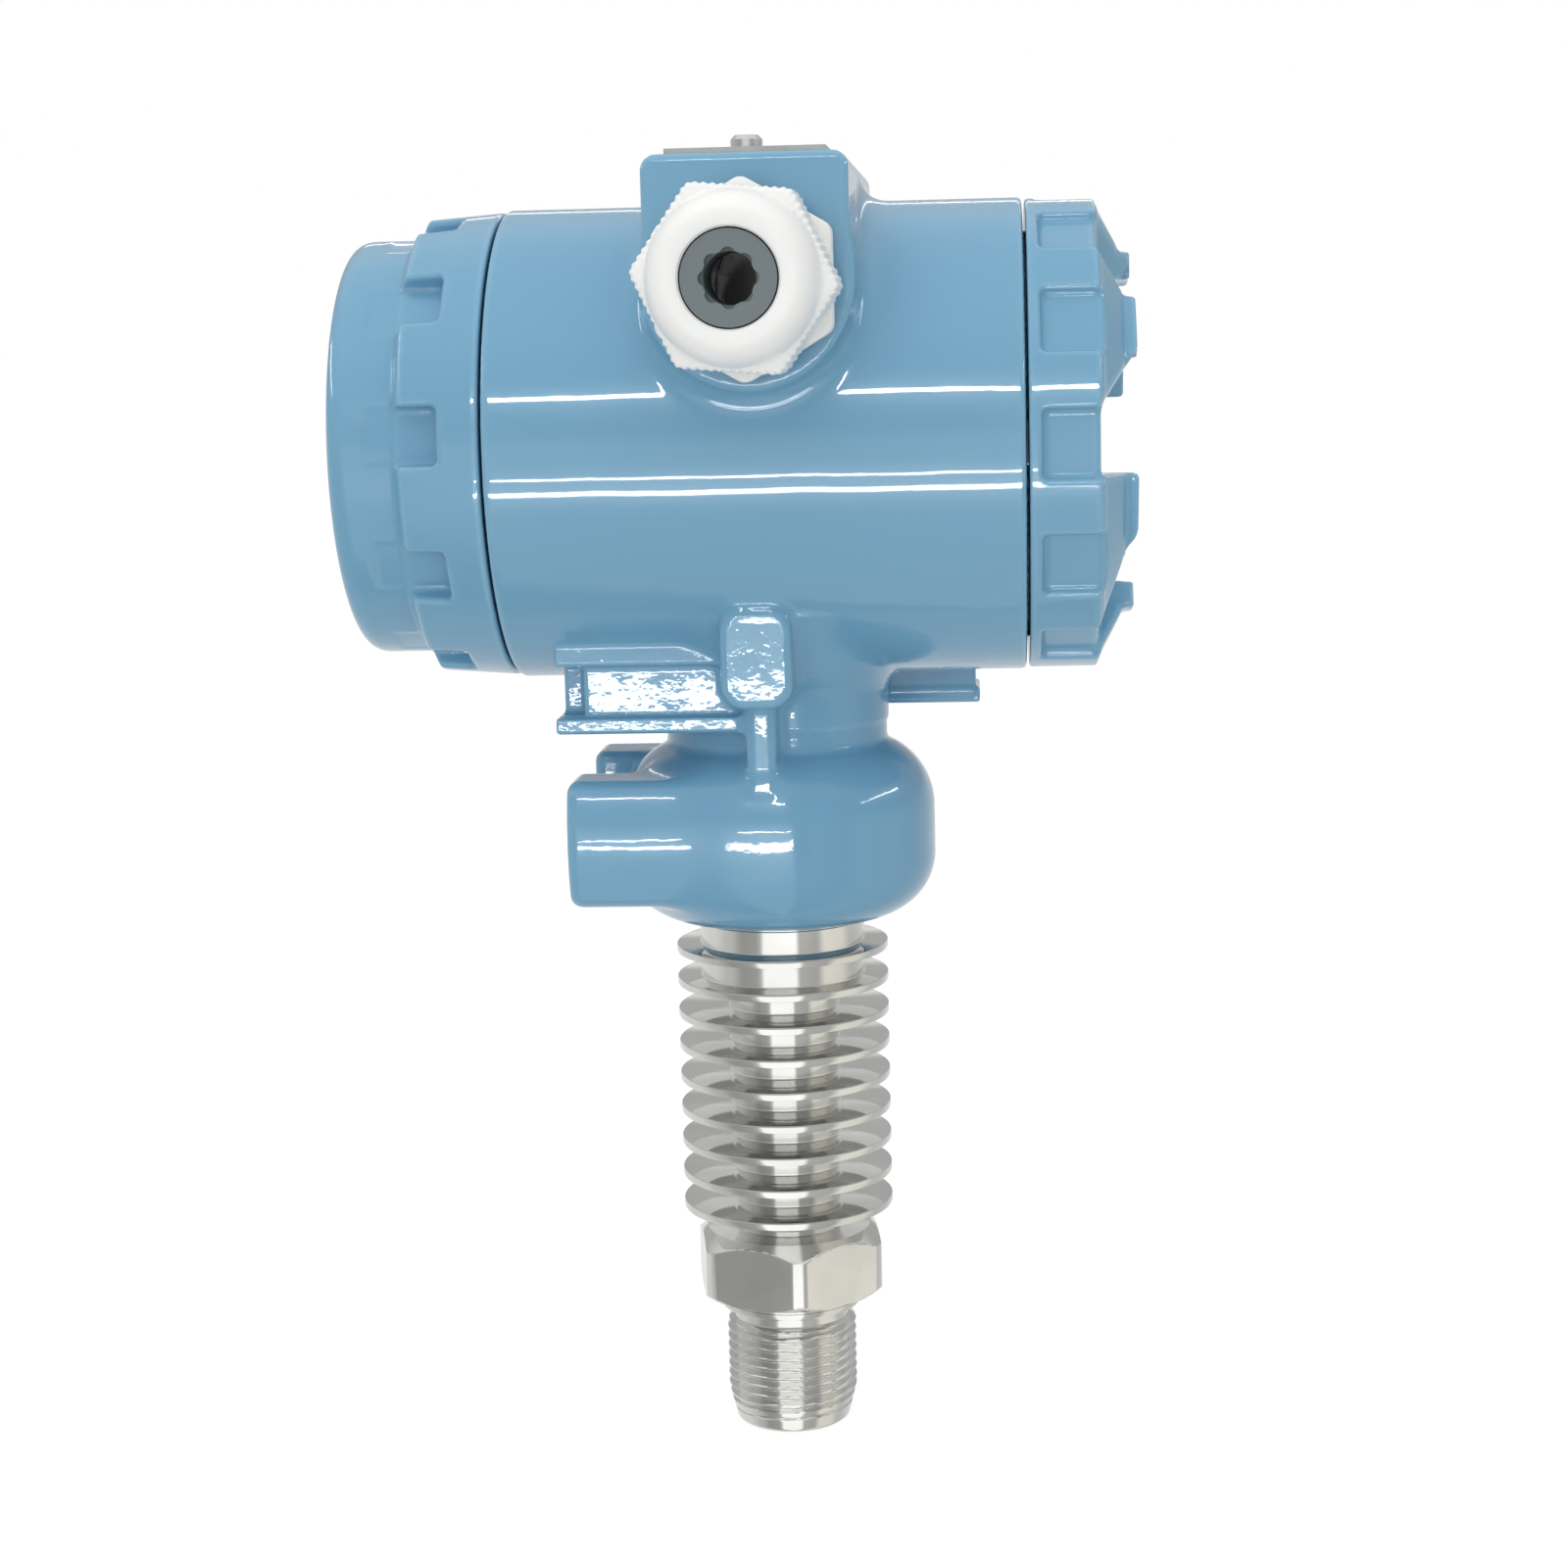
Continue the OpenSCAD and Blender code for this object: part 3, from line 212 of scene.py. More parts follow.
def surface_net(shape: Shape, low: Triple, high: Triple, step: float) -> tuple[Array, Array]:
    """Closed quad mesh of a field's surface.

    Args:
        shape: the field, negative inside.
        low: lowest corner of the space that it fills.
        high: highest corner.
        step: grid step in millimetres.

    Returns:
        Points and quads.
    """
    low = np.array(low, float) - 1.5 * step
    axes = [np.arange(a, b + 2 * step, step) for a, b in zip(low, high)]
    grid = [a.reshape([-1 if i == k else 1 for k in range(3)]) for i, a in enumerate(axes)]
    values = np.broadcast_to(shape(*grid), [len(a) for a in axes]).astype(np.float32)
    inside = values < 0
    cells_n = [n - 1 for n in inside.shape]
    count = np.zeros(cells_n, np.uint8)
    for i, j, k in CORNERS:
        count += inside[i:i + cells_n[0], j:j + cells_n[1], k:k + cells_n[2]]
    active = (count > 0) & (count < 8)
    cells = np.argwhere(active)
    index = np.full(cells_n, -1, np.int64)
    index[active] = np.arange(len(cells))
    at = np.stack([values[tuple((cells + c).T)] for c in CORNERS], 1)
    total, hits = np.zeros((len(cells), 3)), np.zeros(len(cells))
    for a, b in EDGES:
        cut = (at[:, a] < 0) != (at[:, b] < 0)
        t = np.where(cut, at[:, a] / np.where(cut, at[:, a] - at[:, b], 1.0), 0.0)
        total += cut[:, None] * (CORNERS[a] + t[:, None] * (CORNERS[b] - CORNERS[a]))
        hits += cut
    points = low + (cells + total / hits[:, None]) * step
    quads = []
    for k in range(3):
        u, v = np.eye(3, dtype=int)[(k + 1) % 3], np.eye(3, dtype=int)[(k + 2) % 3]
        near, far = (np.moveaxis(np.moveaxis(inside, k, 0)[part], 0,
                                 k) for part in (slice(-1), slice(1, None)))
        edge = np.argwhere(near != far)
        quad = np.stack([index[tuple((edge - s).T)] for s in (u + v, v, 0 * u, u)], 1)
        back = ~near[tuple(edge.T)]
        quad[back] = quad[back][:, ::-1]
        quads.append(quad)
    return points, np.concatenate(quads)


# ---------------------------------------------------------------- meshes


def mesh_object(name: str, points: Array, faces: Array) -> Piece:
    """Makes an object and links it to the scene.

    Args:
        name: its name.
        points: its points, in millimetres.
        faces: point numbers of each face, all with as many corners.

    Returns:
        The object.
    """
    me = bpy.data.meshes.new(name)
    me.vertices.add(len(points))
    me.vertices.foreach_set("co", (points * MM).astype(np.float32).ravel())
    corners = faces.shape[1]
    me.loops.add(faces.size)
    me.loops.foreach_set("vertex_index", faces.astype(np.int32).ravel())
    me.polygons.add(len(faces))
    me.polygons.foreach_set("loop_start", np.arange(0, faces.size, corners, dtype=np.int32))
    me.update(calc_edges=True)
    me.validate()
    obj = bpy.data.objects.new(name, me)
    bpy.context.scene.collection.objects.link(obj)
    return obj


def thin_out(obj: Piece, share: float) -> None:
    """Collapses edges until fewer faces are left.

    Args:
        obj: the piece.
        share: the share of its faces to keep.
    """
    mod = obj.modifiers.new("painted_edge_highlight", "DECIMATE")
    mod.ratio = share
    mod.use_collapse_triangulate = True
    bpy.context.view_layer.update()
    made = bpy.data.meshes.new_from_object(obj.evaluated_get(bpy.context.evaluated_depsgraph_get()))
    obj.modifiers.clear()
    old, obj.data = obj.data, made
    bpy.data.meshes.remove(old)


def cast_piece(name: str, shape: Shape, low: Triple, high: Triple, step: float, keep: float) -> Piece:
    """Builds a cast or moulded piece from its field, with normals from the field itself.

    Args:
        name: the piece's name.
        shape: its field.
        low: lowest corner of the space that it fills, in millimetres.
        high: highest corner.
        step: grid step.
        keep: share of the faces to keep where the surface is plain.

    Returns:
        The object.
    """
    points, quads = surface_net(shape, low, high, step)
    points = settle(shape, points, step / 2)
    obj = mesh_object(name, points, quads)
    thin_out(obj, keep)
    me = obj.data
    co = np.empty(len(me.vertices) * 3, np.float32)
    me.vertices.foreach_get("co", co)
    points = settle(shape, co.reshape(-1, 3).astype(float) / MM, step / 4, 2)
    me.vertices.foreach_set("co", (points * MM).astype(np.float32).ravel())
    _, g = slope(shape, points, 0.04)
    g /= np.maximum(np.linalg.norm(g, axis=1), 1e-9)[:, None]
    me.update()
    me.shade_smooth()
    me.normals_split_custom_set_from_vertices(g.astype(np.float32))
    # The bend at each point drives the painted edge highlight in the gloss paint.
    bends = me.attributes.new(EDGE, "FLOAT", "POINT")
    bends.data.foreach_set("value", sharpness(shape, points).astype(np.float32))
    return obj


def ring_stack(name: str, along: Along, origin: Triple, turns: Array, rows: Rows,
               sharp: float = 30.0) -> Piece:
    """Builds a turned piece as a closed stack of rings.

    Args:
        name: the piece's name.
        along: where its axis points.
        origin: the point from which axial places count, in millimetres.
        turns: angle of each ring point, in radians, growing.
        rows: (axial place, radius) of each ring, up the outside and back down the bore. Either
            may be one number or one for each angle.
        sharp: angle above which an edge stays sharp, in degrees.

    Returns:
        The object.
    """
    first, second, axial = (np.array(v, float) for v in along.value)
    n = len(turns)
    place = np.stack([np.broadcast_to(np.asarray(w, float), n) for w, _ in rows])
    radius = np.stack([np.broadcast_to(np.asarray(r, float), n) for _, r in rows])
    points = (np.array(origin, float) + place[..., None] * axial
              + (radius * np.cos(turns))[..., None] * first + (radius * np.sin(turns))[..., None] * second)
    i = np.arange(len(rows))[:, None]
    j = np.arange(n)[None, :]
    up, on = (i + 1) % len(rows), (j + 1) % n
    quads = np.stack([i * n + j, i * n + on, up * n + on, up * n + j], -1).reshape(-1, 4)
    obj = mesh_object(name, points.reshape(-1, 3), quads)
    obj.data.shade_smooth()
    obj.data.set_sharp_from_angle(angle=math.radians(sharp))
    return obj


def fold(angle: Array, count: int, turn: float) -> Array:
    """Angle from the nearest of some equal spokes.

    Args:
        angle: angles in radians.
        count: number of spokes.
        turn: where the first one is, in degrees.

    Returns:
        The signed angles in radians.
    """
    pitch = 2 * math.pi / count
    off = angle - math.radians(turn)
    return off - pitch * np.round(off / pitch)


# ---------------------------------------------------------------- finishes


class Nodes:
    """Short way to lay out the node tree of a material or a world."""

    def __init__(self, owner: bpy.types.Material | bpy.types.World) -> None:
        """Clears the owner's nodes."""
        owner.use_nodes = True
        self.tree = owner.node_tree
        self.tree.nodes.clear()
        self.coords = self.add("ShaderNodeTexCoord")

    def add(self, kind: str, **values: Any) -> Node:
        """Adds a node.

        Args:
            kind: Blender's name of the node.
            values: its properties or input sockets, with _ for a blank.

        Returns:
            The node.
        """
        node = self.tree.nodes.new(kind)
        for key, value in values.items():
            if hasattr(node, key):
                setattr(node, key, value)
            else:
                node.inputs[key.replace("_", " ")].default_value = value
        return node

    def link(self, source: Node, out: str | int, target: Node, into: str | int) -> None:
        """Joins two sockets."""
        self.tree.links.new(source.outputs[out], target.inputs[into])

    def ramp(self, source: Node, out: str | int, stops: Sequence[tuple[float, Triple]],
             ease: bool = False) -> Node:
        """Colour ramp that follows a socket.

        Args:
            source: the node that it follows.
            out: that node's socket.
            stops: place and colour of each stop, in order.
            ease: whether the colours blend in smoothly.

        Returns:
            The ramp.
        """
        node = self.add("ShaderNodeValToRGB")
        elements = node.color_ramp.elements
        if ease:
            node.color_ramp.interpolation = "EASE"
        while len(elements) < len(stops):
            elements.new(0.5)
        for element, (place, colour) in zip(elements, stops):
            element.position, element.color = place, (*colour, 1)
        self.link(source, out, node, "Fac")
        return node


class Graph(Nodes):
    """A material's nodes round its main shader."""

    def __init__(self, material: bpy.types.Material) -> None:
        """Adds the output and the main shader."""
        super().__init__(material)
        self.out = self.add("ShaderNodeOutputMaterial")
        self.shader = self.add("ShaderNodeBsdfPrincipled")
        self.link(self.shader, "BSDF", self.out, "Surface")

    def stretched(self, scale: Triple) -> Node:
        """Object coordinates scaled along each axis."""
        node = self.add("ShaderNodeMapping")
        node.inputs["Scale"].default_value = scale
        self.link(self.coords, "Object", node, "Vector")
        return node

    def noise(self, scale: float, detail: float = 2.0, stretch: Triple = (1, 1, 1)) -> Node:
        """Noise in object space.

        Args:
            scale: features per metre.
            detail: octaves.
            stretch: further scale along each axis.

        Returns:
            The node.
        """
        node = self.add("ShaderNodeTexNoise", Scale=scale, Detail=detail)
        self.link(self.stretched(stretch), "Vector", node, "Vector")
        return node

    def spread(self, source: Node, out: str, low: float, high: float, into: str) -> None:
        """Feeds the shader a value that follows the source.

        Args:
            source: the node that it follows.
            out: that node's socket.
            low: the least value.
            high: the greatest.
            into: the shader's socket.
        """
        node = self.add("ShaderNodeMapRange", From_Min=0.3, From_Max=0.7, To_Min=low, To_Max=high)
        self.link(source, out, node, "Value")
        self.link(node, "Result", self.shader, into)

    def blend(self, source: Node, out: str, a: Triple, b: Triple,
              low: float = 0.35, high: float = 0.65) -> Node:
        """Colour ramp from a at low to b at high."""
        return self.ramp(source, out, ((low, a), (high, b)))

    def bump(self, source: Node, out: str, depth: float) -> Node:
        """Relief of the given depth in metres, fed to the shader."""
        node = self.add("ShaderNodeBump", Strength=1.0, Distance=depth)
        self.link(source, out, node, "Height")
        self.link(node, "Normal", self.shader, "Normal")
        return node

    def set(self, **values: Any) -> None:
        """Sets the main shader's own sockets."""
        for key, value in values.items():
            self.shader.inputs[key.replace("_", " ")].default_value = value


def tone(r: int, g: int, b: int) -> tuple[float, float, float]:
    """Linear colour of an eight bit screen colour."""
    return tuple((c / 255 / 12.92) if c <= 10 else ((c / 255 + 0.055) / 1.055) ** 2.4 for c in (r, g, b))


@dataclass(frozen=True)
class Finish:
    """A named surface; each kind lays out its own nodes."""

    name: str

    def material(self) -> bpy.types.Material:
        """The material, made once."""
        found = bpy.data.materials.get(self.name)
        if found is None:
            found = bpy.data.materials.new(self.name)
            self.lay_out(Graph(found))
        return found

    def lay_out(self, g: Graph) -> None:
        """Builds the nodes."""
        raise NotImplementedError


@dataclass(frozen=True)
class GlossPaint(Finish):
    """Stoved gloss enamel: faint orange peel, tone drift, a painted highlight that lightens the edges and,
    low on a casting, sand relief.
    """

    main: tuple[float, float, float] = tone(113, 164, 194)
    deep: tuple[float, float, float] = tone(109, 161, 191)
    # Pale colour of the painted highlight along the edges.
    painted_edge_highlight: tuple[float, float, float] = tone(143, 188, 213)
    peel: float = 0.000006
    wave: float = 0.00007
    cast: float = 0.0
    cast_top: float = 0.118
    ear_top: float = 0.099
    ear_share: float = 0.4

    def lay_out(self, g: Graph) -> None:
        """Builds the nodes."""
        drift = g.noise(22, 1)
        base = g.blend(drift, "Fac", self.deep, self.main, 0.2, 0.8)
        # Painted highlight: edges are mixed toward the pale colour by how sharply the surface bends there.
        edge = g.add("ShaderNodeAttribute", attribute_name=EDGE)
        edge_highlight_share = g.add("ShaderNodeMath", operation="MULTIPLY")
        edge_highlight_share.inputs[1].default_value = 0.45
        g.link(edge, "Fac", edge_highlight_share, 0)
        mix = g.add("ShaderNodeMix", data_type="RGBA")
        mix.inputs[7].default_value = (*self.painted_edge_highlight, 1)
        g.link(edge_highlight_share, 0, mix, 0)
        g.link(base, "Color", mix, 6)
        g.link(mix, 2, g.shader, "Base Color")
        g.spread(g.noise(140, 3), "Fac", 0.2, 0.26, "Roughness")
        skin = g.bump(g.noise(420, 2), "Fac", self.peel)
        wave = g.bump(g.noise(70, 1), "Fac", self.wave)
        g.link(self.sand(g, wave) if self.cast else wave, "Normal", skin, "Normal")
        for shell in ("Normal", "Coat Normal"):
            g.link(skin, "Normal", g.shader, shell)
        g.set(Specular_IOR_Level=0.15, Coat_Weight=0.65, Coat_Roughness=0.035, Coat_IOR=1.5)

    def sand(self, g: Graph, under: Node) -> Node:
        """Relief of the sand mould: none on the barrel, full on the rails, less on the ears below them.

        Args:
            g: the material's nodes.
            under: the relief that it lies on.

        Returns:
            The relief node.
        """
        relief = g.bump(g.noise(300, 3), "Fac", self.cast)
        place = g.add("ShaderNodeSeparateXYZ")
        g.link(g.coords, "Object", place, 0)
        share = g.add("ShaderNodeMath", operation="MULTIPLY")
        for i, (start, end, low) in enumerate(((self.cast_top + 0.003, self.cast_top - 0.003, 0.0),
                                               (self.ear_top - 0.001, self.ear_top + 0.001, self.ear_share))):
            step = g.add("ShaderNodeMapRange", From_Min=start, From_Max=end, To_Min=low)
            g.link(place, "Z", step, "Value")
            g.link(step, "Result", share, i)
        g.link(share, 0, relief, "Strength")
        g.link(under, "Normal", relief, "Normal")
        return relief


@dataclass(frozen=True)
class TurnedSteel(Finish):
    """Stainless turned on a lathe: fine tool rings across the axis."""

    colour: tuple[float, float, float] = (0.77, 0.772, 0.755)
    rings: float = 3400.0
    rough: tuple[float, float] = (0.06, 0.1)

    def lay_out(self, g: Graph) -> None:
        """Builds the nodes."""
        lines = g.noise(1.0, 3, (30, 30, self.rings))
        stain = g.noise(70, 4)
        base = g.blend(stain, "Fac", tuple(c * 0.86 for c in self.colour), self.colour)
        g.link(base, "Color", g.shader, "Base Color")
        g.spread(lines, "Fac", *self.rough, "Roughness")
        g.bump(lines, "Fac", 0.0000015)
        tangent = g.add("ShaderNodeTangent", direction_type="RADIAL", axis="Z")
        g.link(tangent, "Tangent", g.shader, "Tangent")
        g.set(Metallic=1.0, Anisotropic=0.4, Anisotropic_Rotation=0.25)


@dataclass(frozen=True)
class MilledSteel(Finish):
    """Stainless milled or drawn flat, with a fine cloudy grain."""

    colour: tuple[float, float, float] = (0.70, 0.69, 0.66)
    grain: tuple[float, float, float] = (60, 60, 900)
    rough: tuple[float, float] = (0.26, 0.4)

    def lay_out(self, g: Graph) -> None:
        """Builds the nodes."""
        grain = g.noise(1.0, 4, self.grain)
        cloud = g.noise(160, 4)
        base = g.blend(cloud, "Fac", tuple(c * 0.82 for c in self.colour), self.colour)
        g.link(base, "Color", g.shader, "Base Color")
        g.spread(grain, "Fac", *self.rough, "Roughness")
        g.bump(grain, "Fac", 0.000008)
        g.set(Metallic=1.0)


@dataclass(frozen=True)
class Moulded(Finish):
    """Injection moulded plastic with a fine spark eroded skin."""

    colour: tuple[float, float, float] = (0.85, 0.85, 0.83)
    drift: float = 0.05
    rough: tuple[float, float] = (0.3, 0.42)
    grain: float = 0.000010
    soft: float = 0.0

    def lay_out(self, g: Graph) -> None:
        """Builds the nodes."""
        cloud = g.noise(90, 3)
        base = g.blend(cloud, "Fac", tuple(c * (1 - self.drift) for c in self.colour), self.colour)
        g.link(base, "Color", g.shader, "Base Color")
        g.spread(g.noise(700, 2), "Fac", *self.rough, "Roughness")
        g.bump(g.noise(2400, 2), "Fac", self.grain)
        g.set(Subsurface_Weight=self.soft, Subsurface_Scale=0.002)


@dataclass(frozen=True)
class Rubber(Finish):
    """Moulded rubber with a dusty bloom."""

    colour: tuple[float, float, float] = tone(80, 92, 96)
    rough: tuple[float, float] = (0.5, 0.7)

    def lay_out(self, g: Graph) -> None:
        """Builds the nodes."""
        bloom = g.noise(260, 5)
        base = g.blend(bloom, "Fac", tuple(c * 0.8 for c in self.colour),
                       tuple(min(1, c * 1.15) for c in self.colour))
        g.link(base, "Color", g.shader, "Base Color")
        g.spread(bloom, "Fac", *self.rough, "Roughness")
        g.bump(g.noise(1800, 3), "Fac", 0.00002)


@dataclass(frozen=True)
class ClearGlass(Finish):
    """Toughened window glass, faintly green, with a trace of haze."""

    colour: tuple[float, float, float] = (0.93, 0.97, 0.96)

    def lay_out(self, g: Graph) -> None:
        """Builds the nodes."""
        haze = g.noise(60, 3)
        base = g.blend(haze, "Fac", tuple(c * 0.97 for c in self.colour), self.colour)
        g.link(base, "Color", g.shader, "Base Color")
        g.spread(haze, "Fac", 0.0, 0.03, "Roughness")
        g.set(Transmission_Weight=1.0, IOR=1.45)


PAINT = GlossPaint("gloss_paint")
CAST_PAINT = GlossPaint("gloss_paint_cast", cast=0.00007)
TURNED = TurnedSteel("turned_stainless")
MILLED = MilledSteel("milled_stainless")
BRIGHT = MilledSteel("plated_steel", (0.78, 0.78, 0.77), (200, 200, 200), (0.18, 0.3))
DULL = MilledSteel("dull_stainless", (0.56, 0.60, 0.59), (300, 300, 300), (0.32, 0.46))
BRASS = MilledSteel("nickelled_brass", (0.80, 0.66, 0.38), (200, 200, 200), (0.2, 0.32))
WHITE = Moulded("white_nylon", tone(244, 245, 243), 0.03, (0.3, 0.42), 0.000008, 0.08)
BLACK = Moulded("black_nylon", (0.022, 0.022, 0.025), 0.3, (0.35, 0.5))
POTTING = Moulded("potting_resin", (0.06, 0.065, 0.07), 0.3, (0.25, 0.45), 0.00003)
BOARD = Moulded("solder_mask", (0.02, 0.14, 0.06), 0.25, (0.25, 0.35), 0.00002)
SEGMENTS = Moulded("display_segments", (0.02, 0.025, 0.03), 0.2, (0.3, 0.4))
LCD_BACK = Moulded("display_film", tone(176, 188, 168), 0.05, (0.18, 0.26), 0.000002)
SLEEVE = Moulded("lead_sleeve", (0.45, 0.04, 0.03), 0.2, (0.35, 0.5))
GREY_RUBBER = Rubber("grey_rubber")
BLACK_RUBBER = Rubber("black_rubber", (0.025, 0.025, 0.026))
GLASS = ClearGlass("window_pane")


def dress(obj: Piece, *finishes: Finish) -> None:
    """Gives an object its finishes, one for each material slot."""
    obj.data.materials.clear()
    for finish in finishes:
        obj.data.materials.append(finish.material())


def seat_piece(obj: Piece, body: Body, slot: str, finish: Finish, *nodes: str) -> Piece:
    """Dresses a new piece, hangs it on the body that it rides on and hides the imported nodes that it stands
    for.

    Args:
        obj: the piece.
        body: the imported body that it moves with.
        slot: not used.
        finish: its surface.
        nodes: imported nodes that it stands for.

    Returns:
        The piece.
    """
    dress(obj, finish)
    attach(obj, body.value)
    if nodes:
        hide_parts(*nodes)
    log.info("%s: %d faces, rides on %s", obj.name, len(obj.data.polygons), body.value)
    return obj


# ---------------------------------------------------------------- the casting


@dataclass
class CastHousing:
    """The painted casting: barrel, conduit boss, rails, neck, bulb and bracket ears."""

    step: float = 0.62
    keep: float = 0.56
    boss_half: float = 14.1
    boss_r: float = 14.7
    neck_r: float = 16.6
    bulb_r: float = 23.6
    bulb_low: float = 70.0
    bulb_high: float = 97.1
    ear_x: float = 29.5
    ear_z: float = 84.0
    ear_half_h: float = 9.4
    ear_r: float = 22.6
    face_draft: float = 0.062
    rail_x: float = 30.6
    rail_y: float = 20.3
    rail_depth: float = 11.0
    flange_low: tuple[float, float] = (100.4, 102.7)
    flange_high: tuple[float, float] = (110.2, 114.2)
    pocket: tuple[float, float] = (-26.6, -14.8)
    block_x: tuple[float, float] = (-6.0, 4.2)
    block_z: tuple[float, float] = (104.4, 119.2)
    block_out: float = 27.0
    wall_x: tuple[float, float] = (-18.0, -14.4)
    chamber_r: float = 28.5
    mouth_r: float = 29.5
    mouth_len: float = 13.0
    seat_r: float = 32.2
    seat_len: float = 2.2
    entry_r: float = 10.0
    bracket_y: float = 15.9
    bracket_r: float = 3.4
    screw_y: float = 30.0
    screw_r: float = 1.27
    button_y: float = 9.0
    button_r: float = 3.1

    def rail(self, x: Array, y: Array, z: Array) -> Array:
        """Flanged rail with its pocket, drawn on the gland side.

        Args:
            x: places along the barrel.
            y: places away from the gland.
            z: heights.

        Returns:
            The distance, negative inside.
        """
        yi = -self.rail_y + self.rail_depth
        (low0, low1), (high0, high1) = self.flange_low, self.flange_high
        low = box_field(x, y, z, (-self.rail_x, -self.rail_y, low0), (0, yi, low1), 0.35)
        high = box_field(x, y, z, (-self.rail_x, -self.rail_y, high0), (0, yi, high1), 0.4)
        lean = y + (z - 106.5) * self.face_draft
        web = box_field(x, lean, z, (-30.0, -self.rail_y + 1.5, 101.5), (0, yi, 112), 0.5)
        web = carve(web, box_field(x, y, z, (-33, -23, low1), (self.pocket[0], self.pocket[1], high0), 0.8),
                    0.6)
        return soft_min(soft_min(low, high, 0.5), web, 0.6)

    def stop_block(self, x: Array, y: Array, z: Array) -> Array:
        """Rounded block and the rib under it, on the gland side.

        Args:
            x: places along the barrel.
            y: places away from the gland.
            z: heights.

        Returns:
            The distance, negative inside.
        """
        lean = y + (z - 111.8) * self.face_draft
        across = rounded(slab(x, *self.block_x), slab(z, *self.block_z), r=3.4)
        block = rounded(across, slab(lean, -self.block_out, 0.0), r=1.3)
        rib = box_field(x, y, z, (-3.0, -22.0, 90.4), (1.4, -10.0, 108.0), 1.6)
        return soft_min(block, rib, 1.6)

    def outside(self, x: Array, y: Array, z: Array) -> Array:
        """The painted skin, before boring.

        Args:
            x: places along the barrel.
            y: places away from the gland.
            z: heights.

        Returns:
            The distance, negative inside.
        """
        up = z - AXIS_Z
        barrel = rounded(np.hypot(y, up) - BARREL_R, slab(x, -HALF_LEN, HALF_LEN), r=0.7)
        arch = soft_min(np.hypot(x, z - GLAND_Z) - self.boss_r,
                        rounded(slab(x, -self.boss_half, self.boss_half), slab(z, GLAND_Z, TOP_Z), r=2.2),
                        1.2)
        boss = rounded(arch, slab(y, -BOSS_FACE, BOSS_FACE), r=0.9)
        body = soft_min(barrel, boss, 4.5)
        radial = np.hypot(x, y)
        neck = rounded(radial - self.neck_r, slab(z, 84, 118))
        flare = rounded(radial - (self.neck_r + np.clip(z - 104.6, 0, 13) * 0.72), slab(z, 100, 117.6))
        neck = soft_min(neck, flare, 1.2)
        body = soft_min(body, neck, 1.4)
        tall = np.where(z > (self.bulb_low + self.bulb_high) / 2, 10.9, 9.2)
        bulb = rounded(radial - self.bulb_r, slab(z, self.bulb_low, self.bulb_high), r=tall)
        ears = rounded(np.hypot(y, z - self.ear_z) - self.ear_r,
                       slab(z, self.ear_z - self.ear_half_h, self.ear_z + self.ear_half_h),
                       slab(x, -self.ear_x, 4.0), r=1.8)
        gap = box_field(x, y, z, (-45, -10.3, 60), (-15.5, 10.3, 110), 1.6)
        ears = carve(ears, gap, 2.0)
        lower = soft_min(bulb, ears, 3.4)
        body = soft_min(body, lower, 1.0)
        rails = np.minimum(self.rail(x, y, z), self.rail(-x, -y, z))
        blocks = np.minimum(self.stop_block(x, y, z), self.stop_block(-x, -y, z))
        return soft_min(soft_min(body, rails, 0.5), blocks, 1.8)

    def field(self, x: Array, y: Array, z: Array) -> Array:
        """The whole casting with its chambers, bores and screw holes.

        Args:
            x: places along the barrel.
            y: places away from the gland.
            z: heights.

        Returns:
            The distance, negative inside.
        """
        body = self.outside(x, y, z)
        up = z - AXIS_Z
        radial, round_barrel = np.hypot(x, y), np.hypot(y, up)
        left, right = self.wall_x
        chambers = np.minimum(*(rounded(round_barrel - self.chamber_r, slab(x, a, b))
                                for a, b in ((-50, left), (right, 50))))
        mouths = rounded(round_barrel - self.mouth_r, -(np.abs(x) - (HALF_LEN - self.mouth_len)))
        seats = rounded(round_barrel - self.seat_r, -(np.abs(x) - (HALF_LEN - self.seat_len)))
        body = carve(body, np.minimum(np.minimum(chambers, mouths), seats), 0.3)
        entry = np.maximum(np.hypot(x, z - GLAND_Z) - self.entry_r, slab(y, -50, 50))
        passage = rod(x, y, z, 6.0, 60, AXIS_Z)
        stem = np.minimum(rod(x, y, z, 12.0, 60, 89.56), rod(x, y, z, 13.8, 60, 71.4))
        brackets = rod(np.abs(y) - self.bracket_y, z - self.ear_z, x, self.bracket_r, -40, -self.ear_x + 12)
        lock = rod(x, z - 80, y, 2.02, 0, 30)
        lead = rod(y, z - 119.0, x, 2.72, -20, -12)
        earth = rod(y - 15, z - (AXIS_Z - 15), x, 1.77, -14.4 - 2.9, -12)
        clamp = rod(x - 0.9, z - 111.8, y, 1.77, 27 - 8.3, 30)
        screws = rod(x, np.abs(y) - self.screw_y, z, self.screw_r, TOP_Z - 5.3, 200)
        buttons = rod(x, np.abs(y) - self.button_y, z, self.button_r, TOP_Z - 8, 200)
        for tool in (entry, passage, stem, brackets, lock, lead, earth, clamp, screws, buttons):
            body = carve(body, tool, 0.25)
        return body

    def build(self) -> None:
        """Makes the casting and dresses it."""
        obj = cast_piece("casting", self.field, (-HALF_LEN, -BOSS_FACE, self.bulb_low),
                         (HALF_LEN, BOSS_FACE, TOP_Z), self.step, self.keep)
        seat_piece(obj, Body.FIXED, "paint", CAST_PAINT, "housing")


# ---------------------------------------------------------------- covers


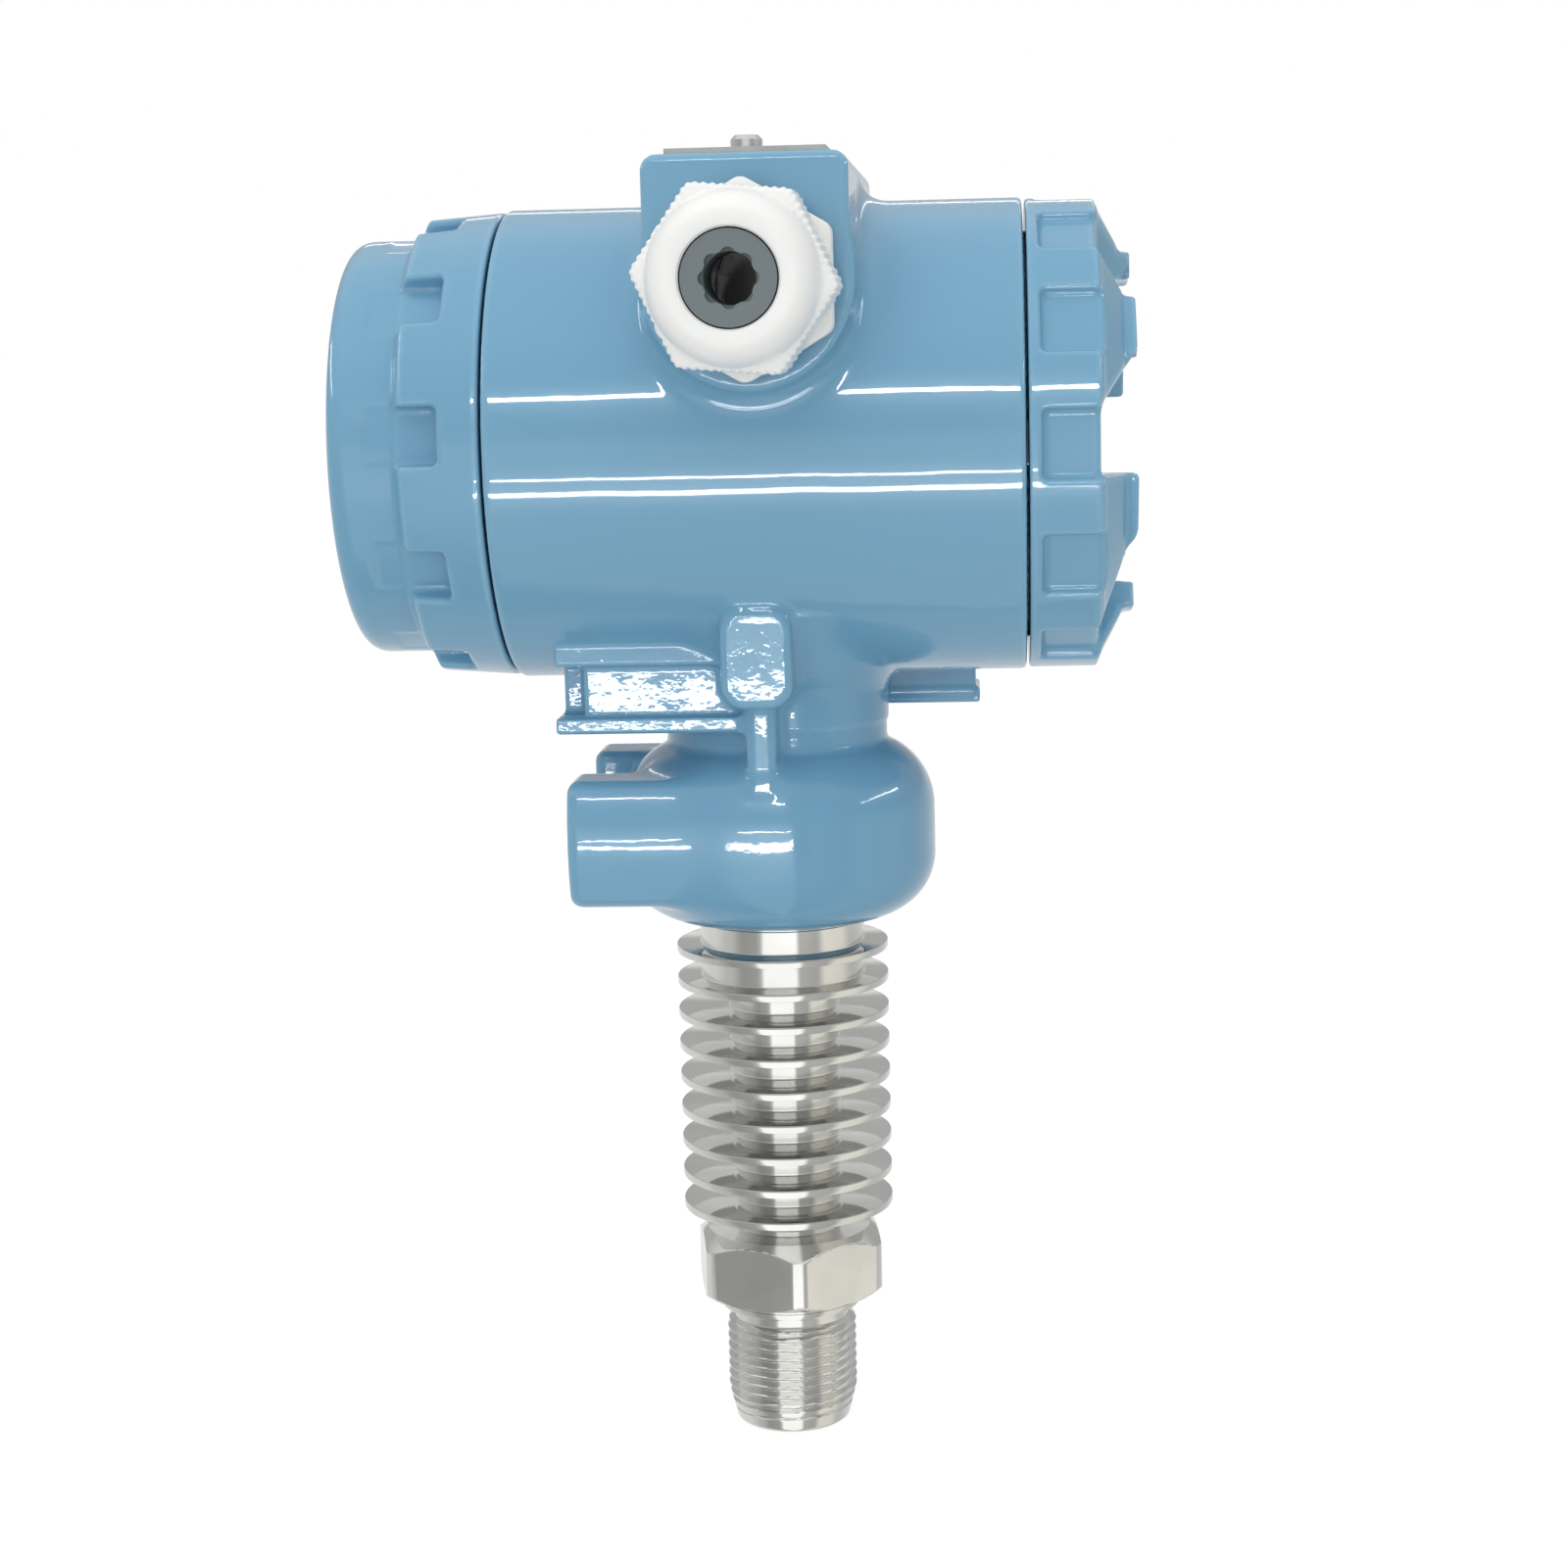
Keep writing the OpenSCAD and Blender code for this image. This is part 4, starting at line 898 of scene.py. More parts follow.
@dataclass
class DisplayCap:
    """Window cover with grip notches round its ring."""

    step: float = 0.55
    keep: float = 0.6
    length: float = 22.6
    front_r: float = 30.5
    ring_r: tuple[float, float] = (34.2, 33.4)
    ring_len: float = 11.0
    step_len: float = 2.0
    window_r: float = 23.0
    bore_r: float = 27.0
    lip: float = 2.7
    notches: int = 10
    notch_turn: float = 5.0
    notch_half: float = 4.1

    def field(self, x: Array, y: Array, z: Array) -> Array:
        """The cover, from the threaded spigot to the window lip.

        Args:
            x: places along the barrel.
            y: places away from the gland.
            z: heights.

        Returns:
            The distance, negative inside.
        """
        u, up = -x - SEAM_X, z - AXIS_Z
        r = np.hypot(y, up)
        start, end = self.ring_r
        wall = end + (start - end) * (1 - np.clip(u, 0, self.ring_len) / self.ring_len)
        drop = np.clip((u - self.ring_len) / self.step_len, 0, 1)
        wall = wall - (end - self.front_r) * drop * drop * (3 - 2 * drop)
        rim = soft_max(soft_max(r - wall, u - self.length, 3.2), -u, 0.8)
        angle = fold(np.arctan2(up, -y), self.notches, self.notch_turn)
        side, out = r * np.sin(angle), r * np.cos(angle)
        notch = rounded(slab(side, -self.notch_half, self.notch_half),
                        slab(u, self.ring_len - 5, self.ring_len + 6),
                        -(out - self.front_r), r=0.9)
        rim = carve(rim, notch, 1.0)
        spigot = rounded(r - SPIGOT_R, slab(u, -11.0, 1.0), r=0.5)
        body = np.minimum(rim, spigot)
        body = carve(body, r - self.window_r, 1.0)
        return carve(body, rounded(r - self.bore_r, slab(u, -20, self.length - self.lip)), 0.3)

    def build(self) -> None:
        """Makes the cover and dresses it."""
        r = max(self.ring_r)
        obj = cast_piece("display_cap", self.field, (-SEAM_X - self.length, -r, AXIS_Z - r),
                         (-SEAM_X + 11, r, AXIS_Z + r), self.step, self.keep)
        seat_piece(obj, Body.DISPLAY_CAP, "paint", PAINT, "display_cover")


@dataclass
class TerminalCap:
    """Blind cover with a crown of ramped teeth and recesses round its rim."""

    step: float = 0.5
    keep: float = 0.6
    rim_r: float = 34.3
    rim_len: float = 10.2
    floor: float = 9.8
    inner: float = 6.4
    flank: tuple[float, float] = (33.2, 26.3)
    flank_h: float = 13.8
    tooth_r: tuple[float, float] = (22.2, 26.3)
    tooth_h: float = 15.3
    slots: int = 6
    slot_sides: tuple[float, float] = (-4.6, 5.0)
    ramp: float = 1.345
    recesses: int = 12
    recess_half: float = 4.8
    recess_r: float = 32.7

    def field(self, x: Array, y: Array, z: Array) -> Array:
        """The cover, from the threaded spigot to the tooth tops.

        Args:
            x: places along the barrel.
            y: places away from the gland.
            z: heights.

        Returns:
            The distance, negative inside.
        """
        u, up = x - SEAM_X, z - AXIS_Z
        r = np.hypot(y, up)
        rim = rounded(r - self.rim_r, slab(u, 0.0, self.rim_len - 0.2), r=0.5)
        lean = (self.flank_h - self.rim_len) / (self.flank[0] - self.flank[1])
        cone = (u - self.rim_len - (self.flank[0] - r) * lean) / math.hypot(1, lean)
        foot = soft_max(np.maximum(cone, r - self.flank[0]), slab(u, 2.0, self.flank_h), 0.8)
        crown = rounded(slab(r, *self.tooth_r), slab(u, 2.0, self.tooth_h), r=0.5)
        teeth = soft_max(soft_min(foot, crown, 0.8), -(r - self.tooth_r[0]), 0.6)
        plate = rounded(r - 31.0, slab(u, 2.0, self.floor))
        body = soft_min(soft_min(rim, plate, 0.3), teeth, 0.9)
        angle = np.arctan2(up, -y)
        spoke = fold(angle, self.slots, 0)
        side, out = r * np.sin(spoke), r * np.cos(spoke)
        above = u - self.floor
        slope_side = (side - self.slot_sides[1] - self.ramp * above) / math.hypot(1, self.ramp)
        slot = soft_max(soft_max(-above, self.slot_sides[0] - side, 0.8), slope_side, 0.8)
        slot = np.maximum(slot, 19.8 - out)
        body = carve(body, slot, 0.8)
        spoke = fold(angle, self.recesses, 0)
        side, out = r * np.sin(spoke), r * np.cos(spoke)
        recess = rounded(slab(side, -self.recess_half, self.recess_half), slab(u, 1.8, 14.0),
                         -(out - self.recess_r), r=0.9)
        body = carve(body, recess, 0.9)
        body = np.minimum(body, rounded(r - SPIGOT_R, slab(u, -11.0, 1.0), r=0.5))
        return carve(body, rounded(r - 26.5, slab(u, -20, self.inner), r=0.0), 0.5)

    def build(self) -> None:
        """Makes the cover and dresses it."""
        r = self.rim_r
        obj = cast_piece("terminal_cap", self.field, (SEAM_X - 11, -r, AXIS_Z - r),
                         (SEAM_X + self.tooth_h, r, AXIS_Z + r), self.step, self.keep)
        seat_piece(obj, Body.TERMINAL_CAP, "paint", PAINT, "terminal_cover")


# ---------------------------------------------------------------- cable gland


@dataclass
class CableGland:
    """Moulded gland: hexagon body and serrated clamping nut. Places count from the boss face."""

    flat_r: float = 12.0
    corner_r: float = 13.55
    hex_from: float = 1.24
    hex_t: float = 5.0
    sleeve_r: float = 9.5
    sleeve_end: float = 16.84
    bore_r: float = 6.5
    thread_r: float = 9.9
    thread_len: float = 9.0
    pitch: float = 1.5
    nut_from: float = 7.24
    nut_hex_end: float = 20.64
    nut_end: float = 28.04
    tip_r: float = 8.5
    mouth_r: float = 6.4
    nut_bore_r: float = 9.8
    nut_turn: float = 5.0
    serrations: int = 12
    serration_depth: float = 0.26

    def origin(self) -> tuple[float, float, float]:
        """Where the gland's axis leaves the boss."""
        return (0.0, -BOSS_FACE, GLAND_Z)

    def hexagon(self, turns: Array, middle: float, cut: float = 0.0) -> Array:
        """Radius of a hexagon with turned corners.

        Args:
            turns: angles in radians.
            middle: where the middle of one flat is, in degrees.
            cut: how much smaller it is all round.

        Returns:
            The radius at each angle.
        """
        off = fold(turns, 6, middle)
        flat = (self.flat_r - cut) / np.cos(off)
        return -np.logaddexp(-flat * 12, -np.full_like(flat, self.corner_r - cut) * 12) / 12

    def body(self) -> None:
        """Makes the gland body."""
        turns = np.linspace(0, 2 * math.pi, 192, endpoint=False)
        hexa = self.hexagon(turns, 0)
        rows: Rows = []
        for w in np.arange(-self.thread_len, self.hex_from - 0.3, self.pitch / 8):
            phase = (w / self.pitch - turns / (2 * math.pi)) % 1.0
            crest = self.thread_r - 0.8 * np.clip(np.abs(phase - 0.5) * 2 - 0.1, 0, 0.85)
            rows.append((w, np.minimum(crest, self.thread_r - 0.8 + (w + self.thread_len) * 0.8)))
        w0, w1 = self.hex_from, self.hex_from + self.hex_t
        rows += [(w0 - 0.2, self.thread_r - 0.6), (w0, self.thread_r - 0.6), (w0, hexa - 0.5),
                 (w0 + 0.12, hexa - 0.2),
                 (w0 + 0.45, hexa), (w1 - 0.45, hexa), (w1 - 0.12, hexa - 0.18), (w1, hexa - 0.5),
                 (w1, self.sleeve_r + 0.3), (w1 + 0.3, self.sleeve_r), (self.sleeve_end - 0.3, self.sleeve_r),
                 (self.sleeve_end, self.sleeve_r - 0.3), (self.sleeve_end, self.bore_r + 0.2),
                 (self.sleeve_end - 0.2, self.bore_r),
                 (-self.thread_len + 0.2, self.bore_r), (-self.thread_len, self.bore_r + 0.2)]
        obj = ring_stack("gland_body_moulding", Along.TO_GLAND, self.origin(), turns, rows)
        seat_piece(obj, Body.FIXED, "white_plastic", WHITE, "gland_body")

    def nut(self) -> None:
        """Makes the clamping nut with its serrated flats and domed nose."""
        side = 2 * self.flat_r / math.sqrt(3)
        share = np.arange(4 * self.serrations) / (4 * self.serrations) - 0.5
        turns, radius = [], []
        for k in range(6):
            middle = math.radians(30 - self.nut_turn + 60 * k)
            t = share * side
            saw = 1 - np.abs(1 - (2 * self.serrations * (share + 0.5)) % 2)
            turns.append(middle + np.arctan2(t, self.flat_r))
            radius.append((self.flat_r - self.serration_depth * saw) / np.cos(turns[-1] - middle))
        order = np.argsort(np.concatenate(turns) % (2 * math.pi))
        angle = (np.concatenate(turns) % (2 * math.pi))[order]
        limit = np.full(len(angle), self.corner_r)
        saw_r = -np.logaddexp(-np.concatenate(radius)[order] * 9, -limit * 9) / 9
        w0, w1 = self.nut_from, self.nut_hex_end
        rows: Rows = [(w0, saw_r - 0.7), (w0 + 0.25, saw_r - 0.25), (w0 + 0.7, saw_r)]
        rows += [(w, saw_r) for w in np.linspace(w0 + 3, w1 - 1.2, 4)]
        rows += [(w1 - 0.55, saw_r - 0.12), (w1 - 0.2, saw_r - 0.42), (w1, saw_r - 0.95)]
        base = self.flat_r - 0.6
        rows += [(w1 + 0.02, np.minimum(saw_r - 1.1, base + 0.35)), (w1 + 0.3, base)]
        for i in range(1, 17):
            t = math.pi / 2 * i / 16
            rows.append((w1 + (self.nut_end - w1) * math.sin(t),
                         self.tip_r - 0.3 + (base - self.tip_r + 0.3) * math.cos(t)))
        rows += [(self.nut_end, self.mouth_r + 0.7), (self.nut_end - 0.2, self.mouth_r + 0.25),
                 (self.nut_end - 0.7, self.mouth_r),
                 (self.sleeve_end + 0.6, self.mouth_r), (self.sleeve_end + 0.6, self.nut_bore_r),
                 (w0 + 0.4, self.nut_bore_r), (w0, self.nut_bore_r + 0.4)]
        obj = ring_stack("gland_nut_moulding", Along.TO_GLAND, self.origin(), angle, rows, 24)
        seat_piece(obj, Body.NUT, "white_plastic", WHITE, "gland_nut")

    def build(self) -> None:
        """Makes both mouldings."""
        self.body()
        self.nut()


# ---------------------------------------------------------------- process connector


@dataclass
class ProcessStem:
    """Turned stainless connector: thread, hexagon foot, cooling fins and the stem in the casting."""

    points: int = 192
    pitch: float = 1.5
    thread_r: float = 10.0
    thread_depth: float = 0.92
    thread_low: float = -10.2
    nose_r: float = 8.7
    nose_end: float = -5.0
    thread_top: float = 6.4
    relief_r: float = 8.7
    shoulder: tuple[float, float, float] = (8.3, 10.9, 10.8)
    hex_flat: float = 13.5
    hex_bar: float = 15.1
    hex_turn: float = 9.5
    hex_h: float = 10.1
    hex_top_r: float = 12.6
    fins: int = 9
    fin_r: float = 16.1
    fin_t: float = 1.2
    fin_pitch: float = 5.01
    fin_z: float = 24.9
    core_r: float = 8.4
    step_r: float = 9.2
    wide_r: float = 12.5
    collar_r: float = 13.5
    collar_z: float = 69.3
    stem_r: float = 11.95
    stem_top: float = 86.0
    port_r: float = 2.5
    sensor_z: float = 79.0
    sensor_r: float = 9.0

    def thread(self, turns: Array) -> Rows:
        """Rings of the external thread, cut by its tapered nose and its run out."""
        rows: Rows = [(self.thread_low, 8.0), (self.thread_low, 8.35), (self.thread_low + 0.3, 8.72)]
        for z in np.arange(self.thread_low + 0.5, self.thread_top - 0.01, self.pitch / 12):
            phase = (z / self.pitch - turns / (2 * math.pi)) % 1.0
            tooth = np.clip((np.abs(phase - 0.5) * 2 - 0.12) / 0.74, 0, 1)
            cut = self.thread_r - self.thread_depth * tooth
            rise = (z - self.thread_low) / (self.nose_end - self.thread_low)
            nose = self.nose_r + rise * (self.thread_r - self.nose_r)
            run_out = self.thread_r + (self.thread_top - 0.75 - z) * 1.6
            rows.append((z, np.minimum(np.minimum(cut, nose), run_out)))
        rows += [(self.thread_top, self.relief_r + 0.1), (self.thread_top + 0.25, self.relief_r)]
        return rows

    def foot(self, turns: Array) -> Rows:
        """Rings of the relief, shoulder and hexagon."""
        low, r, top = self.shoulder
        rows: Rows = [(low - 0.25, self.relief_r), (low, self.relief_r + 0.2), (low, r - 0.45),
                      (low + 0.14, r - 0.14), (low + 0.45, r), (low + 1.05, r), (low + 1.12, r - 0.16),
                      (low + 1.3, r - 0.16), (low + 1.37, r), (top, r)]
        flat = self.hex_flat / np.cos(fold(turns, 6, self.hex_turn))
        for w in [0.0, 0.06, 0.15, 0.3, 0.5, 0.75, 1.1]:
            bar = self.hex_bar - 1.2 + 1.3 * w + (1.2 - 1.3 * w if w > 0.92 else 0)
            rows.append((top + w, np.minimum(flat, bar)))
        slant = (self.hex_bar - self.hex_top_r) / 2.1
        for w in np.linspace(2.3, 0.0, 15):
            bar = min(self.hex_bar, self.hex_top_r + slant * w)
            rows.append((top + self.hex_h - w, np.minimum(flat, bar)))
        return rows

    def cooling(self) -> Rows:
        """Rings of the core and the fins."""
        hex_top = self.shoulder[2] + self.hex_h
        rows: Rows = [(hex_top, self.core_r + 1.6), (hex_top + 0.25, self.core_r + 0.35),
                      (hex_top + 0.8, self.core_r)]
        half = self.fin_t / 2
        for i in range(self.fins):
            z = self.fin_z + i * self.fin_pitch
            core = self.wide_r if i >= self.fins - 1 else self.core_r
            above = self.wide_r if i >= self.fins - 2 else self.core_r
            step = max(self.step_r, core)
            if i < self.fins - 1:
                rows += [(z - half - 0.6, core), (z - half - 0.4, step - 0.15), (z - half - 0.3, step)]
            rows += [(z - half - 0.06, step + 0.02), (z - half, step + 0.15), (z - half, self.fin_r - 0.16),
                     (z - half + 0.05, self.fin_r - 0.05), (z - half + 0.16, self.fin_r),
                     (z + half - 0.16, self.fin_r), (z + half - 0.05, self.fin_r - 0.05),
                     (z + half, self.fin_r - 0.16), (z + half, above + 0.3), (z + half + 0.1, above + 0.06),
                     (z + half + 0.4, above)]
        return rows

    def stem(self) -> Rows:
        """Rings of the collar, the stem inside the casting and the bores."""
        z = self.collar_z
        return [(z - 0.05, self.wide_r), (z, self.wide_r + 0.1), (z, self.collar_r - 0.2),
                (z + 0.2, self.collar_r), (z + 1.6, self.collar_r),
                (z + 1.8, self.collar_r - 0.2), (z + 1.8, self.stem_r), (73.81, self.stem_r), (73.81, 10.41),
                (75.39, 10.41), (75.39, self.stem_r),
                (self.stem_top - 0.6, self.stem_r), (self.stem_top, self.stem_r - 0.6),
                (self.stem_top, self.sensor_r),
                (self.sensor_z, self.sensor_r), (self.sensor_z, self.port_r), (-7.2, self.port_r),
                (-7.2, 4.0),
                (self.thread_low + 0.2, 4.0), (self.thread_low, 4.2)]

    def build(self) -> None:
        """Makes the connector and dresses it."""
        turns = np.radians(self.hex_turn) + np.linspace(0, 2 * math.pi, self.points, endpoint=False)
        rows = self.thread(turns) + self.foot(turns) + self.cooling() + self.stem()
        obj = ring_stack("connector_turning", Along.UP, (0, 0, 0), turns, rows, 28)
        seat_piece(obj, Body.FIXED, "stainless", TURNED, "process_connector")


# ---------------------------------------------------------------- display


@dataclass
class DisplayPanel:
    """Reflective numeric display behind the window, seen from the display side."""

    low: tuple[float, float] = (-14.9, 134.5)
    size: tuple[float, float] = (29.8, 16.8)
    front: float = -44.40
    depth: float = 2.0
    digits: str = "1234"
    digit_size: tuple[float, float] = (4.2, 8.0)
    bar: float = 0.85

    SEGMENTS_OF = {"1": "bc", "2": "abged", "3": "abgcd", "4": "fgbc"}

    def strokes(self) -> list[tuple[float, float, float, float]]:
        """Centre and size of each dark stroke, in (across, up) from the panel's middle."""
        w, h = self.digit_size
        where = {"a": (0, h / 2, w, 0), "g": (0, 0, w, 0), "d": (0, -h / 2, w, 0),
                 "f": (-w / 2, h / 4, 0, h / 2),
                 "b": (w / 2, h / 4, 0, h / 2), "e": (-w / 2, -h / 4, 0, h / 2),
                 "c": (w / 2, -h / 4, 0, h / 2)}
        out = []
        for i, digit in enumerate(self.digits):
            cx = (i - (len(self.digits) - 1) / 2) * (w + 2.0)
            for key in self.SEGMENTS_OF[digit]:
                x, y, sx, sy = where[key]
                out.append((cx + x, 1.6 + y, max(sx - 0.5, self.bar), max(sy - 0.5, self.bar)))
        out.append(((w + 2.0) * 0.5 - 3.1, 1.6 - h / 2, 0.9, 0.9))
        for i in range(16):
            out.append((-9.4 + i * 1.25, -5.6, 0.8, 1.6 if i < 10 else 0.5))
        return out

    def slab_mesh(self, name: str, boxes: Sequence[tuple[float, float, float, float]], back: float,
                  front: float, edge: float) -> Piece:
        """Thin bevelled tablets on the panel, one for each box."""
        points, faces = [], []
        middle = self.low[1] + self.size[1] / 2
        for cx, cy, sx, sy in boxes:
            base = len(points)
            for x, inset in ((back, 0.0), (front + edge, 0.0), (front, edge)):
                for du, dv in ((-1, -1), (1, -1), (1, 1), (-1, 1)):
                    points.append((x, -(cx + du * (sx / 2 - inset)), middle + cy + dv * (sy / 2 - inset)))
            for ring in (0, 4):
                for k in range(4):
                    faces.append((base + ring + k, base + ring + (k + 1) % 4, base + ring + 4 + (k + 1) % 4,
                                  base + ring + 4 + k))
            faces.append((base + 8, base + 9, base + 10, base + 11))
            faces.append((base + 3, base + 2, base + 1, base))
        return mesh_object(name, np.array(points), np.array(faces))

    def build(self) -> None:
        """Makes the panel and its numerals."""
        w, h = self.size
        panel = self.slab_mesh("display_film_panel", [(0, 0, w, h)], self.front + self.depth, self.front,
                               0.15)
        seat_piece(panel, Body.FIXED, "display", LCD_BACK, "lcd_panel")
        ink = self.slab_mesh("display_numerals", self.strokes(), self.front + 0.01, self.front - 0.06, 0.02)
        seat_piece(ink, Body.FIXED, "display", SEGMENTS)


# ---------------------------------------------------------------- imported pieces


@dataclass(frozen=True)
class Trim:
    """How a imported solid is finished: its surface, and the width of its broken edges in millimetres."""

    node: str
    finish: Finish
    edge: float = 0.12


TRIMS = [
    Trim("window_glass", GLASS, 0.25), Trim("window_gasket", GREY_RUBBER, 0.08), Trim("window_ring", BRIGHT),
    Trim("display_oring", BLACK_RUBBER, 0), Trim("terminal_oring", BLACK_RUBBER, 0),
    Trim("gland_seal", GREY_RUBBER, 0.3),
    Trim("gland_washer", BLACK_RUBBER), Trim("blanking_plug", BRIGHT, 0.2), Trim("plug_washer", BLACK_RUBBER),
    Trim("cover_plate", DULL, 0.15), Trim("plate_screws", BRIGHT, 0.1), Trim("zero_button", BRASS),
    Trim("span_button", BRASS),
    Trim("electronics_module", POTTING, 0.4), Trim("main_board", BOARD, 0.05),
    Trim("board_spacers", BRIGHT, 0.1),
    Trim("display_bezel", BLACK, 0.3), Trim("board_screws", BRIGHT, 0.1), Trim("terminal_block", BLACK, 0.3),
    Trim("terminal_screws", BRASS, 0.1), Trim("inner_earth_screw", BRIGHT, 0.1),
    Trim("outer_earth_screw", BRIGHT, 0.1),
    Trim("outer_earth_clamp", BRIGHT, 0.2), Trim("lead_bush", GREY_RUBBER, 0.1),
    Trim("sensor_leads", SLEEVE, 0),
    Trim("sensor_capsule", MILLED, 0.2), Trim("diaphragm", MILLED, 0.05),
    Trim("connector_seal", BLACK_RUBBER, 0),
    Trim("lock_screw", BRIGHT, 0.1),
]


def trim_packed(trims: Sequence[Trim]) -> None:
    """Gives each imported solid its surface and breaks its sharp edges."""
    for trim in trims:
        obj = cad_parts[trim.node]
        dress(obj, trim.finish)
        if trim.edge:
            mod = obj.modifiers.new("broken_edges", "BEVEL")
            mod.width = trim.edge * MM
            mod.segments = 2
            mod.limit_method = "ANGLE"
            mod.angle_limit = math.radians(40)
            mod.harden_normals = True
        log.info("%s: packed solid, %s", trim.node, trim.finish.name)


# ---------------------------------------------------------------- studio


@dataclass
class Studio:
    """Camera, floor, world and lamps."""

    eye: tuple[float, float, float] = (0.032489, -0.434307, 0.158863)
    yaw: float = -0.0687
    ahead: tuple[float, float, float] = (-0.06785286, 0.98558003, -0.15500968)
    roll: float = -0.0237644
    focal_px: float = 2967.69
    centre_px: tuple[float, float] = (811.84, 793.15)
    sensor: float = 36.0
    floor_z: float = -0.0104
    floor_half: float = 24.0
    paper: tuple[float, float] = (0.80, 0.82)
    glow: float = 1.2
    glow_share: float = 0.72
    even: float = 0.70
    dome_from: tuple[float, float] = (0.02, 0.12)
    dome: tuple[tuple[float, float], ...] = ((0.1, 0.46), (0.45, 0.5), (0.8, 0.95))
    enamelled: tuple[str, ...] = ("casting", "display_cap", "terminal_cap")
    panels: tuple[tuple[float, tuple[float, float, float]], ...] = (
        (-180, (0.85, 0.85, 0.84)), (-110, (0.8, 0.8, 0.79)), (-75, (0.6, 0.6, 0.59)),
        (-52, (0.38, 0.385, 0.37)),
        (-34, (0.42, 0.425, 0.41)), (-28, (0.55, 0.55, 0.54)), (-21, (1.32, 1.32, 1.3)),
        (21, (1.32, 1.32, 1.3)),
        (28, (0.55, 0.55, 0.53)), (52, (0.5, 0.5, 0.49)), (66, (0.93, 0.9, 0.82)), (90, (0.9, 0.87, 0.8)),
        (115, (0.62, 0.62, 0.6)), (180, (0.85, 0.85, 0.84)))

    def camera(self) -> None:
        """Sets the camera at the photograph's viewpoint."""
        data = bpy.data.cameras.new("view")
        data.sensor_width = self.sensor
        data.lens = self.focal_px * self.sensor / IMAGE_SIDE
        data.shift_x = (IMAGE_SIDE / 2 - self.centre_px[0]) / IMAGE_SIDE
        data.shift_y = (self.centre_px[1] - IMAGE_SIDE / 2) / IMAGE_SIDE
        data.clip_start, data.clip_end = 0.01, 60.0
        obj = bpy.data.objects.new("view", data)
        bpy.context.scene.collection.objects.link(obj)
        ahead = Vector(self.ahead).normalized()
        side = Vector((math.cos(self.yaw), -math.sin(self.yaw), 0))
        side = (side - ahead * side.dot(ahead)).normalized()
        up = side.cross(ahead)
        right = math.cos(self.roll) * side + math.sin(self.roll) * up
        top = -math.sin(self.roll) * side + math.cos(self.roll) * up
        turn = Matrix((right, top, -ahead)).transposed().to_4x4()
        obj.matrix_world = Matrix.Translation(self.eye) @ turn
        bpy.context.scene.camera = obj

    def floor(self) -> None:
        """Lays the pale floor, which keeps the shadow, is white to the camera and open to reflections."""
        half = self.floor_half
        me = bpy.data.meshes.new("floor")
        corners = [(x * half, y * half, self.floor_z) for x, y in ((-1, -1), (1, -1), (1, 1), (-1, 1))]
        me.from_pydata(corners, [], [(0, 1, 2, 3)])
        obj = bpy.data.objects.new("floor", me)
        bpy.context.scene.collection.objects.link(obj)
        mat = bpy.data.materials.new("floor_paper")
        g = Graph(mat)
        fibre = g.noise(300, 3)
        dark, pale = ((level,) * 3 for level in self.paper)
        g.link(g.blend(fibre, "Fac", dark, pale), "Color", g.shader, "Base Color")
        g.set(Roughness=0.9)
        path = g.add("ShaderNodeLightPath")
        glow = g.add("ShaderNodeEmission", Strength=self.glow)
        both = g.add("ShaderNodeMixShader")
        seen = g.add("ShaderNodeMath", operation="MULTIPLY")
        seen.inputs[1].default_value = self.glow_share
        g.link(path, "Is Camera Ray", seen, 0)
        g.link(seen, 0, both, 0)
        g.link(g.shader, 0, both, 1)
        g.link(glow, 0, both, 2)
        last = g.add("ShaderNodeMixShader")
        g.link(path, "Is Glossy Ray", last, 0)
        g.link(both, 0, last, 1)
        g.link(g.add("ShaderNodeBsdfTransparent"), 0, last, 2)
        g.link(last, 0, g.out, "Surface")
        obj.data.materials.append(mat)

    def world(self) -> None:
        """White to the camera, a shaded studio to polished metal, and even light for the rest."""
        world = bpy.data.worlds.new("studio")
        bpy.context.scene.world = world
        g = Nodes(world)
        split = g.add("ShaderNodeSeparateXYZ")
        g.link(g.coords, "Generated", split, 0)
        front = g.add("ShaderNodeMath", operation="MULTIPLY")
        front.inputs[1].default_value = -1.0
        around = g.add("ShaderNodeMath", operation="ARCTAN2")
        turn = g.add("ShaderNodeMapRange", From_Min=-math.pi, From_Max=math.pi)
        g.link(split, "Y", front, 0)
        g.link(split, "X", around, 0)
        g.link(front, 0, around, 1)
        g.link(around, 0, turn, "Value")
        sides = g.ramp(turn, "Result", [(0.5 + place / 360, level) for place, level in self.panels],
                       ease=True)
        above = g.ramp(split, "Z", [(place, (level,) * 3) for place, level in self.dome])
        low, high = self.dome_from
        height = g.add("ShaderNodeMapRange", From_Min=low, From_Max=high)
        g.link(split, "Z", height, "Value")
        dome = g.add("ShaderNodeMix", data_type="RGBA")
        g.link(height, "Result", dome, 0)
        g.link(sides, "Color", dome, 6)
        g.link(above, "Color", dome, 7)
        white = (1, 1, 1, 1)
        shaded = g.add("ShaderNodeBackground", Strength=1.0)
        g.link(dome, 2, shaded, "Color")
        path = g.add("ShaderNodeLightPath")
        seen = g.add("ShaderNodeMath", operation="MAXIMUM")
        g.link(path, "Is Camera Ray", seen, 0)
        g.link(path, "Is Transmission Ray", seen, 1)
        last = g.add("ShaderNodeBackground", Color=white, Strength=self.even)
        for source, out, shown in ((path, "Is Glossy Ray", shaded),
                                   (seen, 0, g.add("ShaderNodeBackground", Color=white, Strength=1.0))):
            mix = g.add("ShaderNodeMixShader")
            g.link(source, out, mix, 0)
            g.link(last, 0, mix, 1)
            g.link(shown, 0, mix, 2)
            last = mix
